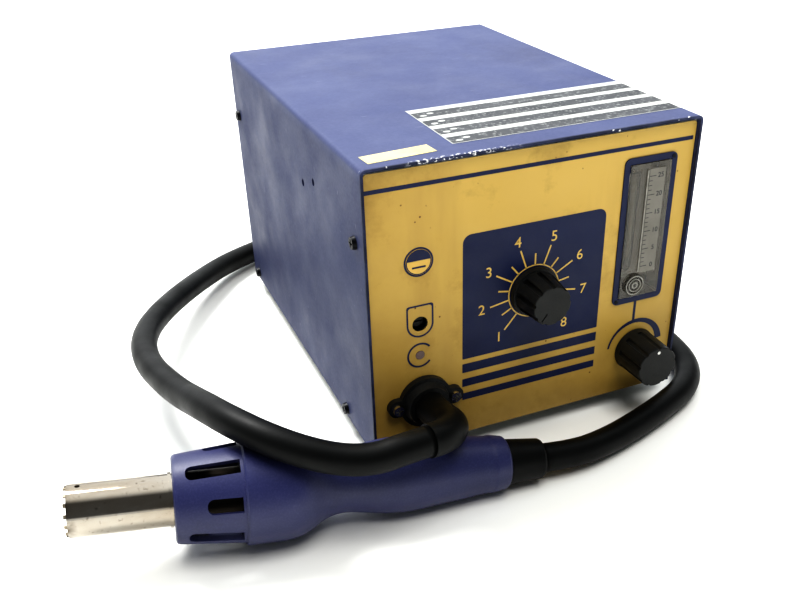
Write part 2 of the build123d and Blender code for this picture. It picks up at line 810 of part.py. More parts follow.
def transformer_core():
    """The laminated core: an upright frame with a middle leg, on the tray."""
    x, y = TRANSFORMER_AT
    with BuildPart() as core:
        with BuildSketch(front(x, FLOOR_Z + 22, y - 9)):
            Rectangle(46, 40)
            with GridLocations(22, 0, 2, 1):
                Rectangle(10, 26, mode=Mode.SUBTRACT)
        extrude(amount=-18)
        with BuildSketch(Plane.XY.offset(FLOOR_Z)):
            with Locations((x, y)):
                Rectangle(58, 18)
                with GridLocations(51, 0, 2, 1):
                    Circle(M3_CLEAR, mode=Mode.SUBTRACT)
        extrude(amount=2)
    save(core, "transformer_core")


def transformer_coil():
    """The winding round the core's middle leg."""
    x, y = TRANSFORMER_AT
    with BuildPart() as coil:
        with BuildSketch(Plane.XY.offset(FLOOR_Z + 9.6)):
            with Locations((x, y)):
                RectangleRounded(31.0, 36.0, 4.0)
                Rectangle(12.2, 18.2, mode=Mode.SUBTRACT)
        extrude(amount=24.8)
    save(coil, "transformer_coil")


# ---- pump ----


def pump_mounts():
    """Four rubber mounts under the pump."""
    with BuildPart() as mounts:
        with BuildSketch(Plane.XY.offset(FLOOR_Z)):
            with Locations((PUMP_X, PUMP_Y)):
                with GridLocations(92, 46, 2, 2):
                    Circle(5.5)
        extrude(amount=PUMP_FLOOR - FLOOR_Z)
    save(mounts, "pump_mounts")


def pump_base():
    """The pump's base plate, with the bracket that carries the armature's pin."""
    px, py = ARM_PIVOT
    with BuildPart() as base:
        with BuildSketch(Plane.XY.offset(PUMP_FLOOR)):
            with Locations((PUMP_X, PUMP_Y)):
                RectangleRounded(112, 62, 5)
        extrude(amount=2.5)
        for z in (PUMP_FLOOR + 2.5, PUMP_FLOOR + 32.5):
            with BuildSketch(Plane.XY.offset(z)):
                with Locations((px - 1.0, py)):
                    Rectangle(14, 12)
            extrude(amount=3.0)
        with BuildSketch(Plane.XY.offset(PUMP_FLOOR + 2.5)):
            with Locations((px - 6.75, py)):
                Rectangle(2.5, 12)
        extrude(amount=33.0)
        with BuildSketch(Plane.XY.offset(PUMP_FLOOR + 2.0)):
            with Locations((px, py)):
                Circle(2.02)
        extrude(amount=36.0, mode=Mode.SUBTRACT)
    save(base, "pump_base")


def pump_core():
    """The pump's U-shaped magnet core, its two poles facing the armature."""
    with BuildPart() as core:
        with BuildSketch(Plane.XY.offset(PUMP_FLOOR + 8.0)):
            with Locations((PUMP_X - 18, PUMP_Y - 6)):
                Rectangle(34, 32)
            with Locations((PUMP_X - 18, PUMP_Y + 0)):
                Rectangle(12, 20.2, mode=Mode.SUBTRACT)
        extrude(amount=22.0)
        with BuildSketch(Plane.XY.offset(PUMP_FLOOR + 2.5)):
            with Locations((PUMP_X - 18, PUMP_Y - 18)):
                Rectangle(34, 8)
        extrude(amount=5.5)
    save(core, "pump_core")


def pump_coil():
    """The winding on one of the core's legs."""
    with BuildPart() as coil:
        with BuildSketch(front(PUMP_X - 6.5, PUMP_FLOOR + 19, PUMP_Y - 9.4)):
            RectangleRounded(21.6, 32.6, 3)
            Rectangle(11.2, 22.2, mode=Mode.SUBTRACT)
        extrude(amount=-16.0)
    save(coil, "pump_coil")


def pump_armature():
    """The swinging arm, with its pivot eye and its magnet."""
    px, py = ARM_PIVOT
    with BuildPart() as arm:
        with BuildSketch(Plane.XY.offset(PUMP_FLOOR + 10.0)):
            with Locations((px, py)):
                Circle(4.2)
            with Locations((px + 42, py)):
                Rectangle(84, 3.0)
            with Locations((PUMP_X - 18, py - 4.4)):
                Rectangle(32, 6.0)
        extrude(amount=18.0)
        with BuildSketch(Plane.XY.offset(PUMP_FLOOR + 10.0)):
            with Locations((px, py)):
                Circle(2.06)
        extrude(amount=18.0, mode=Mode.SUBTRACT)
    save(arm, "pump_armature")


def pump_pin():
    """The armature's pivot pin, upright in the pump's bracket."""
    with BuildPart() as pin:
        with BuildSketch(Plane.XY.offset(PUMP_FLOOR + 2.5)):
            with Locations(ARM_PIVOT):
                Circle(2.0)
        extrude(amount=34.0)
    save(pin, "pump_pin")


def pump_diaphragm():
    """The rubber diaphragm between the arm and the valve head."""
    y = ARM_PIVOT[1] - 1.9
    with BuildPart() as rubber:
        with BuildSketch(front(HEAD_X, PUMP_FLOOR + 19, y)):
            Circle(4.0)
        extrude(amount=5.0)
        with BuildSketch(front(HEAD_X, PUMP_FLOOR + 19, y - 5.0)):
            Circle(6.0)
        extrude(amount=6.0, taper=-50)
    save(rubber, "pump_diaphragm")


def pump_head():
    """The valve head, with an intake neck on top and an outlet towards the back."""
    y = ARM_PIVOT[1] - 13.1
    with BuildPart() as head:
        with BuildSketch(front(HEAD_X, PUMP_FLOOR + 19, y)):
            RectangleRounded(33, 33, 4)
        extrude(amount=20)
        with BuildSketch(front(HEAD_X, PUMP_FLOOR + 19, y)):
            Circle(12.5)
        extrude(amount=6, mode=Mode.SUBTRACT)
        with BuildSketch(Plane.XY.offset(PUMP_FLOOR + 35.5)):
            with Locations((HEAD_X, y - 10)):
                Circle(5.0)
        extrude(amount=6.0)
        with BuildSketch(front(HEAD_X - 8, PUMP_FLOOR + 19, y - 20)):
            Circle(2.6)
        extrude(amount=9.0)
    save(head, "pump_head")


def intake_filter():
    """The felt filter on the head's intake neck."""
    y = ARM_PIVOT[1] - 23.1
    with BuildPart() as felt:
        with BuildSketch(Plane.XY.offset(PUMP_FLOOR + 37.0)):
            with Locations((HEAD_X, y)):
                Circle(11.0)
                Circle(5.1, mode=Mode.SUBTRACT)
        extrude(amount=9.0)
    save(felt, "intake_filter")


def add_tube(points, radii):
    """Add one soft tube, pushed over the barbs at its ends."""
    with BuildLine() as path:
        FilletPolyline(*points, radius=radii)
    with BuildSketch(Plane(origin=path.line @ 0, z_dir=path.line % 0)) as section:
        Circle(4.0)
        Circle(2.65, mode=Mode.SUBTRACT)
    sweep(section.sketch, path=path.line)


def air_tubes():
    """The soft tubes inside: pump to meter, meter to valve, and valve to hose."""
    barb_y = OVERLAY_Y - 1.0 + METER_DEPTH + 1.0
    low, high = BORE_LOW - 0.8, BORE_HIGH + 0.8
    head_y = ARM_PIVOT[1] - 36.1
    valve_y = BEHIND_Y + 25.0
    with BuildPart() as tubes:
        add_tube(
            [
                (HEAD_X - 8, head_y, PUMP_FLOOR + 19),
                (HEAD_X - 8, head_y - 26, PUMP_FLOOR + 19),
                (HEAD_X - 8, head_y - 26, low),
                (BORE_X, head_y - 26, low),
                (BORE_X, barb_y, low),
            ],
            [10.0, 10.0, 9.0],
        )
        add_tube(
            [
                (BORE_X, barb_y, high),
                (BORE_X, barb_y + 20, high),
                (AIR_X + 13, barb_y + 20, high - 20),
                (AIR_X + 13, BEHIND_Y + 20.0, 68.0),
                (AIR_X, BEHIND_Y + 20.0, 62.0),
                (AIR_X, BEHIND_Y + 20.0, AIR_Z + 11.0),
            ],
            [9.0, 9.0, 6.0, 6.0],
        )
        add_tube(
            [
                (AIR_X, valve_y, AIR_Z),
                (AIR_X, valve_y + 15, AIR_Z),
                (AIR_X - 40, valve_y + 15, AIR_Z + 12),
                (HOSE_X + 30, valve_y + 6, AIR_Z + 12),
                (HOSE_X, valve_y + 2, HOSE_Z),
                (HOSE_X, BEHIND_Y + 4.0, HOSE_Z),
            ],
            [8.0, 14.0, 14.0, 8.0],
        )
    save(tubes, "air_tubes")


# ---- mains parts on the back ----


def power_inlet():
    """The mains inlet: a flanged housing with an open socket and three contact blades."""
    with BuildPart() as inlet:
        with BuildSketch(back(INLET_X, REAR_Z)):
            RectangleRounded(50, 23, 3)
            with GridLocations(INLET_PITCH, 0, 2, 1):
                Circle(M3_CLEAR, mode=Mode.SUBTRACT)
        extrude(amount=2.4)
        with BuildSketch(back(INLET_X, REAR_Z)):
            Rectangle(INLET_W, INLET_H)
        extrude(amount=-20)
        with BuildSketch(back(INLET_X, REAR_Z, REAR_Y + 2.4)) as socket:
            Rectangle(24.2, 16.6)
            chamfer(socket.vertices().group_by(Axis.Y)[-1], 4.0)
        extrude(amount=-18.4, mode=Mode.SUBTRACT)
        with BuildSketch(back(INLET_X, REAR_Z, REAR_Y - 16.0)):
            with Locations((-7, -1.5), (0, 2.5), (7, -1.5)):
                Rectangle(2.0, 4.0)
        extrude(amount=14.0)
        with BuildSketch(back(INLET_X, REAR_Z, REAR_Y - 20.0)):
            with Locations((-7, -1.5), (0, 2.5), (7, -1.5)):
                Rectangle(0.8, 4.8)
        extrude(amount=-6.0)
    save(inlet, "power_inlet")


def switch_housing():
    """The power switch's housing and bezel, open to the back, with a hole for each trunnion."""
    with BuildPart() as housing:
        with BuildSketch(back(ROCKER_X, REAR_Z)):
            RectangleRounded(17.0, 23.0, 1.5)
        extrude(amount=1.6)
        with BuildSketch(back(ROCKER_X, REAR_Z)):
            Rectangle(SWITCH_W, SWITCH_H)
        extrude(amount=-16.0)
        with BuildSketch(back(ROCKER_X, REAR_Z, REAR_Y + 1.6)):
            Rectangle(2 * ROCKER_HALF_W + 0.5, 17.6)
        extrude(amount=-14.0, mode=Mode.SUBTRACT)
        with BuildSketch(Plane(origin=(ROCKER_X - 8, ROCKER_PIVOT_Y, REAR_Z), x_dir=(0, 1, 0), z_dir=(1, 0, 0))):
            Circle(1.25)
        extrude(amount=16, mode=Mode.SUBTRACT)
    save(housing, "switch_housing")


def switch_rocker():
    """The switch's rocker, pressed at its lower end, with two trunnions."""
    profile = [(5.6, -7.2), (4.2, 0.0), (5.6, 7.2), (-1.0, 6.0), (-3.6, 0.0), (-1.0, -6.0)]
    tilt = radians(-ROCKER_TILT)
    tilted = [(y * cos(tilt) - z * sin(tilt), y * sin(tilt) + z * cos(tilt)) for y, z in profile]
    plane = Plane(origin=(ROCKER_X, ROCKER_PIVOT_Y, REAR_Z), x_dir=(0, 1, 0), z_dir=(1, 0, 0))
    with BuildPart() as rocker:
        with BuildSketch(plane):
            with BuildLine():
                Polyline(*tilted, close=True)
            make_face()
        extrude(amount=ROCKER_HALF_W, both=True)
        with BuildSketch(plane):
            Circle(1.2)
        extrude(amount=ROCKER_HALF_W + 1.4, both=True)
    save(rocker, "switch_rocker")


def fuse_holder():
    """The fuse holder's body, with a flange outside and a nut inside."""
    with BuildPart() as holder:
        with BuildSketch(back(FUSE_X, REAR_Z)):
            Circle(8.0)
        extrude(amount=2.0)
        with BuildSketch(back(FUSE_X, REAR_Z)):
            Circle(FUSE_R)
        extrude(amount=-26.0)
        with BuildSketch(back(FUSE_X, REAR_Z, REAR_Y + 2.0)):
            Circle(5.0)
        extrude(amount=-24.0, mode=Mode.SUBTRACT)
        with BuildSketch(back(FUSE_X, REAR_Z, REAR_Y - SHEET)):
            RegularPolygon(9.0, 6)
            Circle(FUSE_R, mode=Mode.SUBTRACT)
        extrude(amount=-3.0)
    save(holder, "fuse_holder")


def fuse_cap():
    """The fuse holder's slotted cap, with the fuse in it."""
    with BuildPart() as cap:
        with BuildSketch(back(FUSE_X, REAR_Z, REAR_Y + 2.0)):
            Circle(6.4)
        extrude(amount=2.6, taper=6)
        with BuildSketch(back(FUSE_X, REAR_Z, REAR_Y + 2.0)):
            Circle(4.9)
        extrude(amount=-6.0)
        with BuildSketch(back(FUSE_X, REAR_Z, REAR_Y - 4.0)):
            Circle(2.6)
        extrude(amount=-16.0)
        with BuildSketch(back(FUSE_X, REAR_Z, REAR_Y + 4.6)):
            Rectangle(9.0, 1.4)
        extrude(amount=-1.4, mode=Mode.SUBTRACT)
    save(cap, "fuse_cap")


# ---- labels on the cover ----


def labels():
    """The blank sticker at the front left of the top, and the wide banded label behind the front."""
    with BuildPart() as sticker:
        with BuildSketch(Plane.XY.offset(TOP_Z)):
            with Locations(Location((-59.6, -96.4, 0), (0, 0, 4.5))):
                Rectangle(30.4, 9.2)
        extrude(amount=0.15)
    save(sticker, "blank_sticker")
    with BuildPart() as label:
        with BuildSketch(Plane.XY.offset(TOP_Z)):
            with Locations((21.4, -69.2)):
                Rectangle(112.6, 51.0)
        extrude(amount=0.15)
    save(label, "banded_label")


# ---- handpiece ----


def nozzle_pipe():
    """The bright pipe that the hot air leaves by; clamp-on nozzles go over it as far as its bead."""
    with BuildPart() as pipe:
        with BuildSketch(along(0)):
            Circle(PIPE_R)
            Circle(PIPE_R - PIPE_WALL, mode=Mode.SUBTRACT)
        extrude(amount=96.0)
        with BuildSketch(along(SEAT_LENGTH)):
            Circle(PIPE_R + BEAD)
            Circle(PIPE_R - PIPE_WALL / 2, mode=Mode.SUBTRACT)
        extrude(amount=1.2)
        with BuildSketch(around(4.2, -97, 0)):
            Circle(1.0)
        extrude(amount=2 * PIPE_R, mode=Mode.SUBTRACT)
    save(pipe, "nozzle_pipe")


def pipe_liner():
    """The thin liner inside the pipe, whose teeth show round the pipe's mouth."""
    outer = PIPE_R - PIPE_WALL - 0.02
    with BuildPart() as liner:
        with BuildSketch(along(0)):
            Circle(outer)
            Circle(outer - 0.7, mode=Mode.SUBTRACT)
        extrude(amount=90.0)
        with BuildSketch(along(-1.1)):
            with PolarLocations(outer - 0.35, 14):
                Rectangle(0.7, 1.5)
        extrude(amount=1.3)
    save(liner, "pipe_liner")


def heat_guard():
    """The slotted guard round the pipe, with long and short slots in turn."""
    wall = 2.4
    front_r, rear_r = 18.0, 20.6
    section = [
        (GUARD_FRONT, PIPE_R + 1.0),
        (GUARD_FRONT, front_r - 1.4),
        (GUARD_FRONT + 0.5, front_r - 0.4),
        (GUARD_FRONT + 1.5, front_r),
        (RIM, rear_r),
        (RIM, rear_r - wall),
        (GUARD_FRONT + 2.6, front_r - wall),
        (GUARD_FRONT + 2.6, PIPE_R + 1.0),
    ]
    with BuildPart() as guard:
        revolve(outline(lengthwise(), section), axis=handpiece_axis())
        for turn in range(8):
            long_slot = turn % 2 == 0
            start = GUARD_FRONT + (5.0 if long_slot else 12.6)
            length = RIM - 1.2 - start
            with BuildSketch(around(start + length / 2, turn * 45 + SLOT_TURN, 10.0)) as slot:
                Rectangle(length, 6.2)
                fillet(slot.vertices().group_by(Axis.X)[0], 2.6)
            extrude(amount=16.0, mode=Mode.SUBTRACT)
    save(guard, "heat_guard")


def grip_shell():
    """The hollow grip: a barrel behind the guard, a narrow waist and a swell for the hand."""
    wall = 2.4
    barrel = 21.8
    with BuildPart() as grip:
        with BuildSketch(lengthwise()):
            with BuildLine():
                Line((RIM, barrel - 0.8), (RIM + 0.8, barrel))
                Line((RIM + 0.8, barrel), (80.0, barrel))
                Spline(
                    (80.0, barrel),
                    *GRIP_OUTLINE,
                    (GRIP_END - 2.0, 11.9),
                    tangents=[(1, 0), (1, -0.2)],
                )
                ThreePointArc((GRIP_END - 2.0, 11.9), (GRIP_END - 0.5, 11.2), (GRIP_END, 10.0))
                Polyline((GRIP_END, 10.0), (GRIP_END, 0), (RIM, 0), (RIM, barrel - 0.8))
            make_face()
        revolve(axis=handpiece_axis())
        with BuildSketch(lengthwise()):
            with BuildLine():
                Polyline(
                    (RIM, 0),
                    (RIM, barrel - wall),
                    (82.0, barrel - wall),
                    (92.0, 20.3 - 1.6 * wall),
                    (100.0, 15.4 - 1.3 * wall),
                    (109.0, 13.5 - wall),
                    (131.0, 16.2 - wall),
                    (162.0, 14.0 - wall),
                    (GRIP_END - 4.0, 12.4 - wall),
                    (GRIP_END - 4.0, 7.6),
                    (GRIP_END, 7.6),
                    (GRIP_END, 0),
                    close=True,
                )
            make_face()
        revolve(axis=handpiece_axis(), mode=Mode.SUBTRACT)
    save(grip, "grip_shell")


def pipe_flange():
    """The steel disc inside the grip that carries the pipe and the guard."""
    section = [
        (RIM + 0.1, PIPE_R + 0.02),
        (RIM + 0.1, 19.38),
        (RIM + 10.0, 19.38),
        (RIM + 10.0, 18.0),
        (RIM + 2.0, 18.0),
        (RIM + 2.0, PIPE_R + 0.02),
    ]
    with BuildPart() as disc:
        revolve(outline(lengthwise(), section), axis=handpiece_axis())
    save(disc, "pipe_flange")


def heater_core():
    """The ceramic former: a rod with four ribs and an end disc."""
    with BuildPart() as core:
        with BuildSketch(along(14.0)):
            Circle(2.6)
            Rectangle(13.6, 1.6)
            Rectangle(1.6, 13.6)
        extrude(amount=72.0)
        with BuildSketch(along(86.0)):
            Circle(9.0)
            with PolarLocations(5.6, 6):
                Circle(1.8, mode=Mode.SUBTRACT)
        extrude(amount=4.0)
    save(core, "heater_core")


def heater_coil():
    """The heating wire, drawn as one ring for each turn round the former."""
    with BuildPart() as coil:
        for turn in range(12):
            with BuildSketch(along(18.0 + 5.4 * turn)):
                Circle(7.9)
                Circle(6.95, mode=Mode.SUBTRACT)
            extrude(amount=1.2)
    save(coil, "heater_coil")


def hose_boot():
    """The rubber sleeve at the grip's rear, which the hose leaves by."""
    section = [
        (GRIP_END - 6.0, 4.0),
        (GRIP_END - 6.0, 7.5),
        (GRIP_END, 7.5),
        (GRIP_END, 9.9),
        (GRIP_END + 1.0, 10.1),
        (GRIP_END + BOOT_LENGTH - 1.0, 9.0),
        (GRIP_END + BOOT_LENGTH, 8.4),
        (GRIP_END + BOOT_LENGTH, 4.0),
    ]
    with BuildPart() as boot:
        revolve(outline(lengthwise(), section), axis=handpiece_axis())
    save(boot, "hose_boot")


# ---- hose ----


def hose_radii(points):
    """Each corner's arc: 0.45 of the shorter run beside it, over the tangent of half its turn."""
    radii = []
    for before, here, after in zip(points, points[1:], points[2:]):
        first = Vector(*here) - Vector(*before)
        second = Vector(*after) - Vector(*here)
        turn = first.get_angle(second)
        shorter = min(first.length, second.length)
        radii.append(0.45 * shorter / tan(radians(turn) / 2))
    return radii


def air_hose():
    """The hose from the elbow, over the grip, round behind the cabinet and back to the boot."""
    end = along(GRIP_END + BOOT_LENGTH + HOSE_GAP).origin
    points = HOSE_ROUTE + [(end.X, end.Y, end.Z)]
    radii = hose_radii(points)
    print("hose radii:", [round(radius, 1) for radius in radii])
    with BuildPart() as hose:
        with BuildLine() as path:
            FilletPolyline(*points, radius=radii)
        with BuildSketch(Plane(origin=path.line @ 0, z_dir=path.line % 0)):
            Circle(HOSE_R)
        sweep()
    length = sum(edge.length for edge in path.edges())
    print("hose length", round(length, 1), "volume", round(hose.part.volume, 1))
    print("section times length", round(pi * HOSE_R**2 * length, 1))
    save(hose, "air_hose")


# ---- the whole object ----

for make in (
    top_cover,
    chassis_tray,
    front_panel,
    front_overlay,
    rear_panel,
    feet,
    case_screws,
    hose_flange,
    flange_screws,
    hose_elbow,
    elbow_nut,
    heat_shaft,
    heat_potentiometer,
    panel_nuts,
    air_valve,
    air_valve_needle,
    start_button,
    panel_board,
    board_posts,
    power_lamp,
    panel_board_parts,
    cal_rotor,
    flow_meter_body,
    flow_plug,
    flow_float,
    flow_scale,
    flow_frame,
    main_board,
    board_components,
    heat_sink,
    transformer_core,
    transformer_coil,
    pump_mounts,
    pump_base,
    pump_core,
    pump_coil,
    pump_armature,
    pump_pin,
    pump_diaphragm,
    pump_head,
    intake_filter,
    air_tubes,
    power_inlet,
    switch_housing,
    switch_rocker,
    fuse_holder,
    fuse_cap,
    labels,
    nozzle_pipe,
    pipe_liner,
    heat_guard,
    grip_shell,
    pipe_flange,
    heater_core,
    heater_coil,
    hose_boot,
    air_hose,
):
    make()
knob(HEAT_X, HEAT_Z, "heat_knob", HEAT_KNOB, "line")
knob(AIR_X, AIR_Z, "air_knob", AIR_KNOB, "dot")
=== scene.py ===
"""The looks of the hot air station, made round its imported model.

They are the materials of every node, the printed front, the label and the air hose, with a floor,
a camera and lights. Lengths are in metres. Places on the cabinet are written in millimetres from
its middle, as in the CAD, and pass through at() or through a function that lays print on a face.
"""

import json
from math import cos, pi, radians, sin

import bmesh
import bpy
from mathutils import Matrix, Vector


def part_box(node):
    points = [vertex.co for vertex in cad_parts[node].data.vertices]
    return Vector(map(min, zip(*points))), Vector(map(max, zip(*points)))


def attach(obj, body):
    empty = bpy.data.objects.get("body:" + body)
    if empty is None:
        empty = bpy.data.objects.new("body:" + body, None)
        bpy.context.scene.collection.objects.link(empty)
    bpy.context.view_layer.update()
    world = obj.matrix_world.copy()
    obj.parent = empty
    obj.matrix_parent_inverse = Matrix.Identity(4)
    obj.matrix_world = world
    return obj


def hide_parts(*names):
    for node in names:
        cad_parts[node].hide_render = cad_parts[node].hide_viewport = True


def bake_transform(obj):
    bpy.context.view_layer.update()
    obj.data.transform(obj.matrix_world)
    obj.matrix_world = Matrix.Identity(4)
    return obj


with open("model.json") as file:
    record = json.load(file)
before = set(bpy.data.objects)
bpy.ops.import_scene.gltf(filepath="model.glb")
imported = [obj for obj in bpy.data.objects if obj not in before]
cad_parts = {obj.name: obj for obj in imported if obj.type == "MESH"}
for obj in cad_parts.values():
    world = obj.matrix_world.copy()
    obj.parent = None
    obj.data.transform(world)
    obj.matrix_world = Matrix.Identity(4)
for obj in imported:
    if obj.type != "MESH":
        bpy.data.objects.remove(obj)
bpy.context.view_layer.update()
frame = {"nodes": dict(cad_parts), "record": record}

MM = 0.001
COVER_LOW, COVER_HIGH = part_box("top_cover")
MIDDLE = (COVER_LOW + COVER_HIGH) / 2
TOP_Z = COVER_HIGH.z

# The camera: its place in millimetres, its turns in degrees, its lens and its shift.
CAMERA_PLACE = (-188.5, -425.5, 265.8)
CAMERA_YAW, CAMERA_PITCH, CAMERA_ROLL = 22.52, 30.63, -1.32
SENSOR_WIDTH, FOCAL_LENGTH = 36.0, 41.48
SHIFT_X, SHIFT_Y = -0.0249, 0.0571

# Middles on the front: right of the cabinet's middle and above the floor, in millimetres.
HEAT = (-0.3, 75.8)
AIR = (57.8, 31.2)
AIR_ARC = (57.9, 32.0)
BUTTON = (-55.8, 101.2)
TRIMMER_X = -55.7
LAMP = (-56.0, 56.2)
PLUG = (52.7, 67.8)
CARD = (59.4, 98.6)
BORE_X = CARD[0] - 5.0
FRAME_SCREWS = ((67.7, 128.0), (44.4, 59.8))

# The dial, in degrees from the right and in millimetres from the heat knob's middle.
DIAL_START = 90 + 139.6
DIAL_PITCH = 20.0
DIAL_STROKES = 15
DIAL_NUMBERS = 8
STROKE_FOOT = 12.6
LONG_STROKE, SHORT_STROKE = 22.1, 18.2
NUMBER_REACH, NUMBER_HEIGHT = 26.3, 5.0

# The font's size for a figure one high, and how far its outline is pushed out to make it bolder.
FIGURE_SIZE = 1.4
FIGURE_WEIGHT = 0.03

# The strength of the surroundings: low in front, high behind and overhead, pale at the horizon.
SKY_LOW = 0.13
SKY_HIGH = 1.3
SKY_EDGE = (0.45, 0.85)
SKY_TOWARDS = (0.05, 0.62, 0.78)
HORIZON_STRENGTH = 0.85
HORIZON_EDGE = (0.16, 0.05)
SKY_TINT = (0.95, 0.985, 1.0, 1.0)

HOSE_RADIUS = 6.5 * MM
HOSE_SIDES = 28

# The hose's route, in metres, from the elbow's end to the boot.
HOSE_ROUTE = [
    (-0.0056, -0.1257, 0.0428),
    (-0.0165, -0.1276, 0.0438),
    (-0.0290, -0.1276, 0.0424),
    (-0.0420, -0.1240, 0.0437),
    (-0.0550, -0.1180, 0.0475),
    (-0.0672, -0.1085, 0.0515),
    (-0.0772, -0.0925, 0.0522),
    (-0.0842, -0.0695, 0.0475),
    (-0.0920, -0.0370, 0.0385),
    (-0.0994, 0.0030, 0.0320),
    (-0.0966, 0.0380, 0.0285),
    (-0.0800, 0.0760, 0.0225),
    (-0.0530, 0.1190, 0.0145),
    (-0.0240, 0.1530, 0.0085),
    (0.0194, 0.1745, 0.0067),
    (0.0684, 0.1829, 0.0067),
    (0.1134, 0.1709, 0.0067),
    (0.1489, 0.1459, 0.0067),
    (0.1659, 0.1109, 0.0067),
    (0.1699, 0.0639, 0.0067),
    (0.1689, 0.0179, 0.0067),
    (0.1694, -0.0231, 0.0067),
    (0.1692, -0.0571, 0.0067),
    (0.1636, -0.0786, 0.0067),
    (0.1500, -0.0938, 0.0067),
    (0.1294, -0.1030, 0.0067),
    (0.1084, -0.1105, 0.0067),
    (0.0884, -0.1165, 0.0072),
    (0.0680, -0.1203, 0.0090),
    (0.0522, -0.1183, 0.0105),
]


def at(x, y, z):
    """A point given in millimetres from the cabinet's middle, as a point of the frame in metres."""
    return Vector((MIDDLE.x + x * MM, MIDDLE.y + y * MM, z * MM))


# ---- camera ----


def make_camera():
    """The camera stands in front of the left corner and looks down at the station."""
    yaw, pitch, roll = radians(CAMERA_YAW), radians(CAMERA_PITCH), radians(CAMERA_ROLL)
    forward = Vector((sin(yaw) * cos(pitch), cos(yaw) * cos(pitch), -sin(pitch)))
    right = Vector((cos(yaw), -sin(yaw), 0))
    up = right.cross(forward)
    turned_right = right * cos(roll) + up * sin(roll)
    turned_up = up * cos(roll) - right * sin(roll)
    data = bpy.data.cameras.new("camera")
    data.sensor_width = SENSOR_WIDTH
    data.lens = FOCAL_LENGTH
    data.shift_x = SHIFT_X
    data.shift_y = SHIFT_Y
    data.clip_start = 0.01
    camera = bpy.data.objects.new("camera", data)
    bpy.context.scene.collection.objects.link(camera)
    turn = Matrix((turned_right, turned_up, -forward)).transposed()
    camera.matrix_world = Matrix.Translation(at(*CAMERA_PLACE)) @ turn.to_4x4()
    bpy.context.scene.camera = camera


# ---- outlines, in millimetres on a flat face ----


def arc(x, z, radius, start, end, steps):
    """Points along an arc, in degrees from the right, counter-clockwise."""
    points = []
    for step in range(steps + 1):
        turn = radians(start + (end - start) * step / steps)
        points.append((x + radius * cos(turn), z + radius * sin(turn)))
    return points


def circle(x, z, radius, count):
    """Points round a whole circle."""
    return arc(x, z, radius, 0, 360, count)[:count]


def rounded(x0, z0, x1, z1, low, high, steps=6):
    """A rectangle with one corner radius at its foot and another at its top."""
    points = []
    corners = [(x1, z1, high, 0), (x0, z1, high, 90), (x0, z0, low, 180), (x1, z0, low, 270)]
    for x, z, radius, start in corners:
        centre_x = x - radius if x == x1 else x + radius
        centre_z = z - radius if z == z1 else z + radius
        points += arc(centre_x, centre_z, radius, start, start + 90, steps)
    return points


def oblong(x0, z0, x1, z1):
    """A rectangle from its lowest corner to its highest."""
    return [(x0, z0), (x1, z0), (x1, z1), (x0, z1)]


def stroke(x0, z0, x1, z1, width):
    """A straight stroke of some width."""
    run = Vector((x1 - x0, z1 - z0))
    side = Vector((-run.y, run.x)).normalized() * width / 2
    return [
        (x0 + side.x, z0 + side.y),
        (x1 + side.x, z1 + side.y),
        (x1 - side.x, z1 - side.y),
        (x0 - side.x, z0 - side.y),
    ]


def between(outer, inner, closed=True):
    """Four-sided faces that fill the strip between two outlines of equally many points."""
    count = len(outer)
    last = count if closed else count - 1
    faces = []
    for i in range(last):
        j = (i + 1) % count
        faces.append([outer[i], outer[j], inner[j], inner[i]])
    return faces


def ring(x, z, outer, inner, count):
    """Faces that fill the flat ring between two circles."""
    return between(circle(x, z, outer, count), circle(x, z, inner, count))


def curve_mesh(curve):
    """The mesh that Blender makes of a curve or a text, which is then removed."""
    holder = bpy.data.objects.new(curve.name, curve)
    bpy.context.scene.collection.objects.link(holder)
    bpy.context.view_layer.update()
    mesh = bpy.data.meshes.new_from_object(holder)
    bpy.data.objects.remove(holder)
    bpy.data.curves.remove(curve)
    return mesh


def digits(text, x, z, height):
    """The faces of a plain number, centred on a point."""
    curve = bpy.data.curves.new("digits", "FONT")
    curve.body = text
    curve.align_x = "CENTER"
    curve.align_y = "CENTER"
    curve.size = height * FIGURE_SIZE
    curve.offset = FIGURE_WEIGHT
    mesh = curve_mesh(curve)
    faces = []
    for face in mesh.polygons:
        corners = [mesh.vertices[i].co for i in face.vertices]
        faces.append([(x + c.x, z + c.y) for c in corners])
    bpy.data.meshes.remove(mesh)
    return faces


# ---- pieces ----


def finish_mesh(name, mesh, material, body):
    """Turns a bmesh into a piece with a material, which rides on a body if one is named."""
    bmesh.ops.recalc_face_normals(mesh, faces=mesh.faces)
    data = bpy.data.meshes.new(name)
    mesh.to_mesh(data)
    mesh.free()
    data.materials.append(material)
    piece = bpy.data.objects.new(name, data)
    bpy.context.scene.collection.objects.link(piece)
    if body:
        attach(piece, body)
    return piece


def printed(name, faces, material, body, place, lift, thickness):
    """A thin layer of ink or film, lift above a face and thickness thick, in millimetres.

    The flat faces are made solid, and place() puts them on the object.
    """
    mesh = bmesh.new()
    for face in faces:
        mesh.faces.new([mesh.verts.new(place(u, v, lift)) for u, v in face])
    bmesh.ops.remove_doubles(mesh, verts=mesh.verts, dist=1e-6)
    grown = bmesh.ops.extrude_face_region(mesh, geom=mesh.faces[:])
    move = place(0, 0, lift + thickness) - place(0, 0, lift)
    for item in grown["geom"]:
        if isinstance(item, bmesh.types.BMVert):
            item.co += move
    finish_mesh(name, mesh, material, body)


def facing(node, behind=0.0):
    """A function that lays print on a node's front, or some millimetres behind it."""
    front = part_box(node)[0].y

    def place(u, v, lift):
        return Vector((MIDDLE.x + u * MM, front + (behind - lift) * MM, v * MM))

    return place


def on_label(u, v, lift):
    """Lays bands on the label on the top."""
    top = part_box("banded_label")[1].z
    return Vector((MIDDLE.x + u * MM, MIDDLE.y + v * MM, top + lift * MM))


# ---- the hose ----


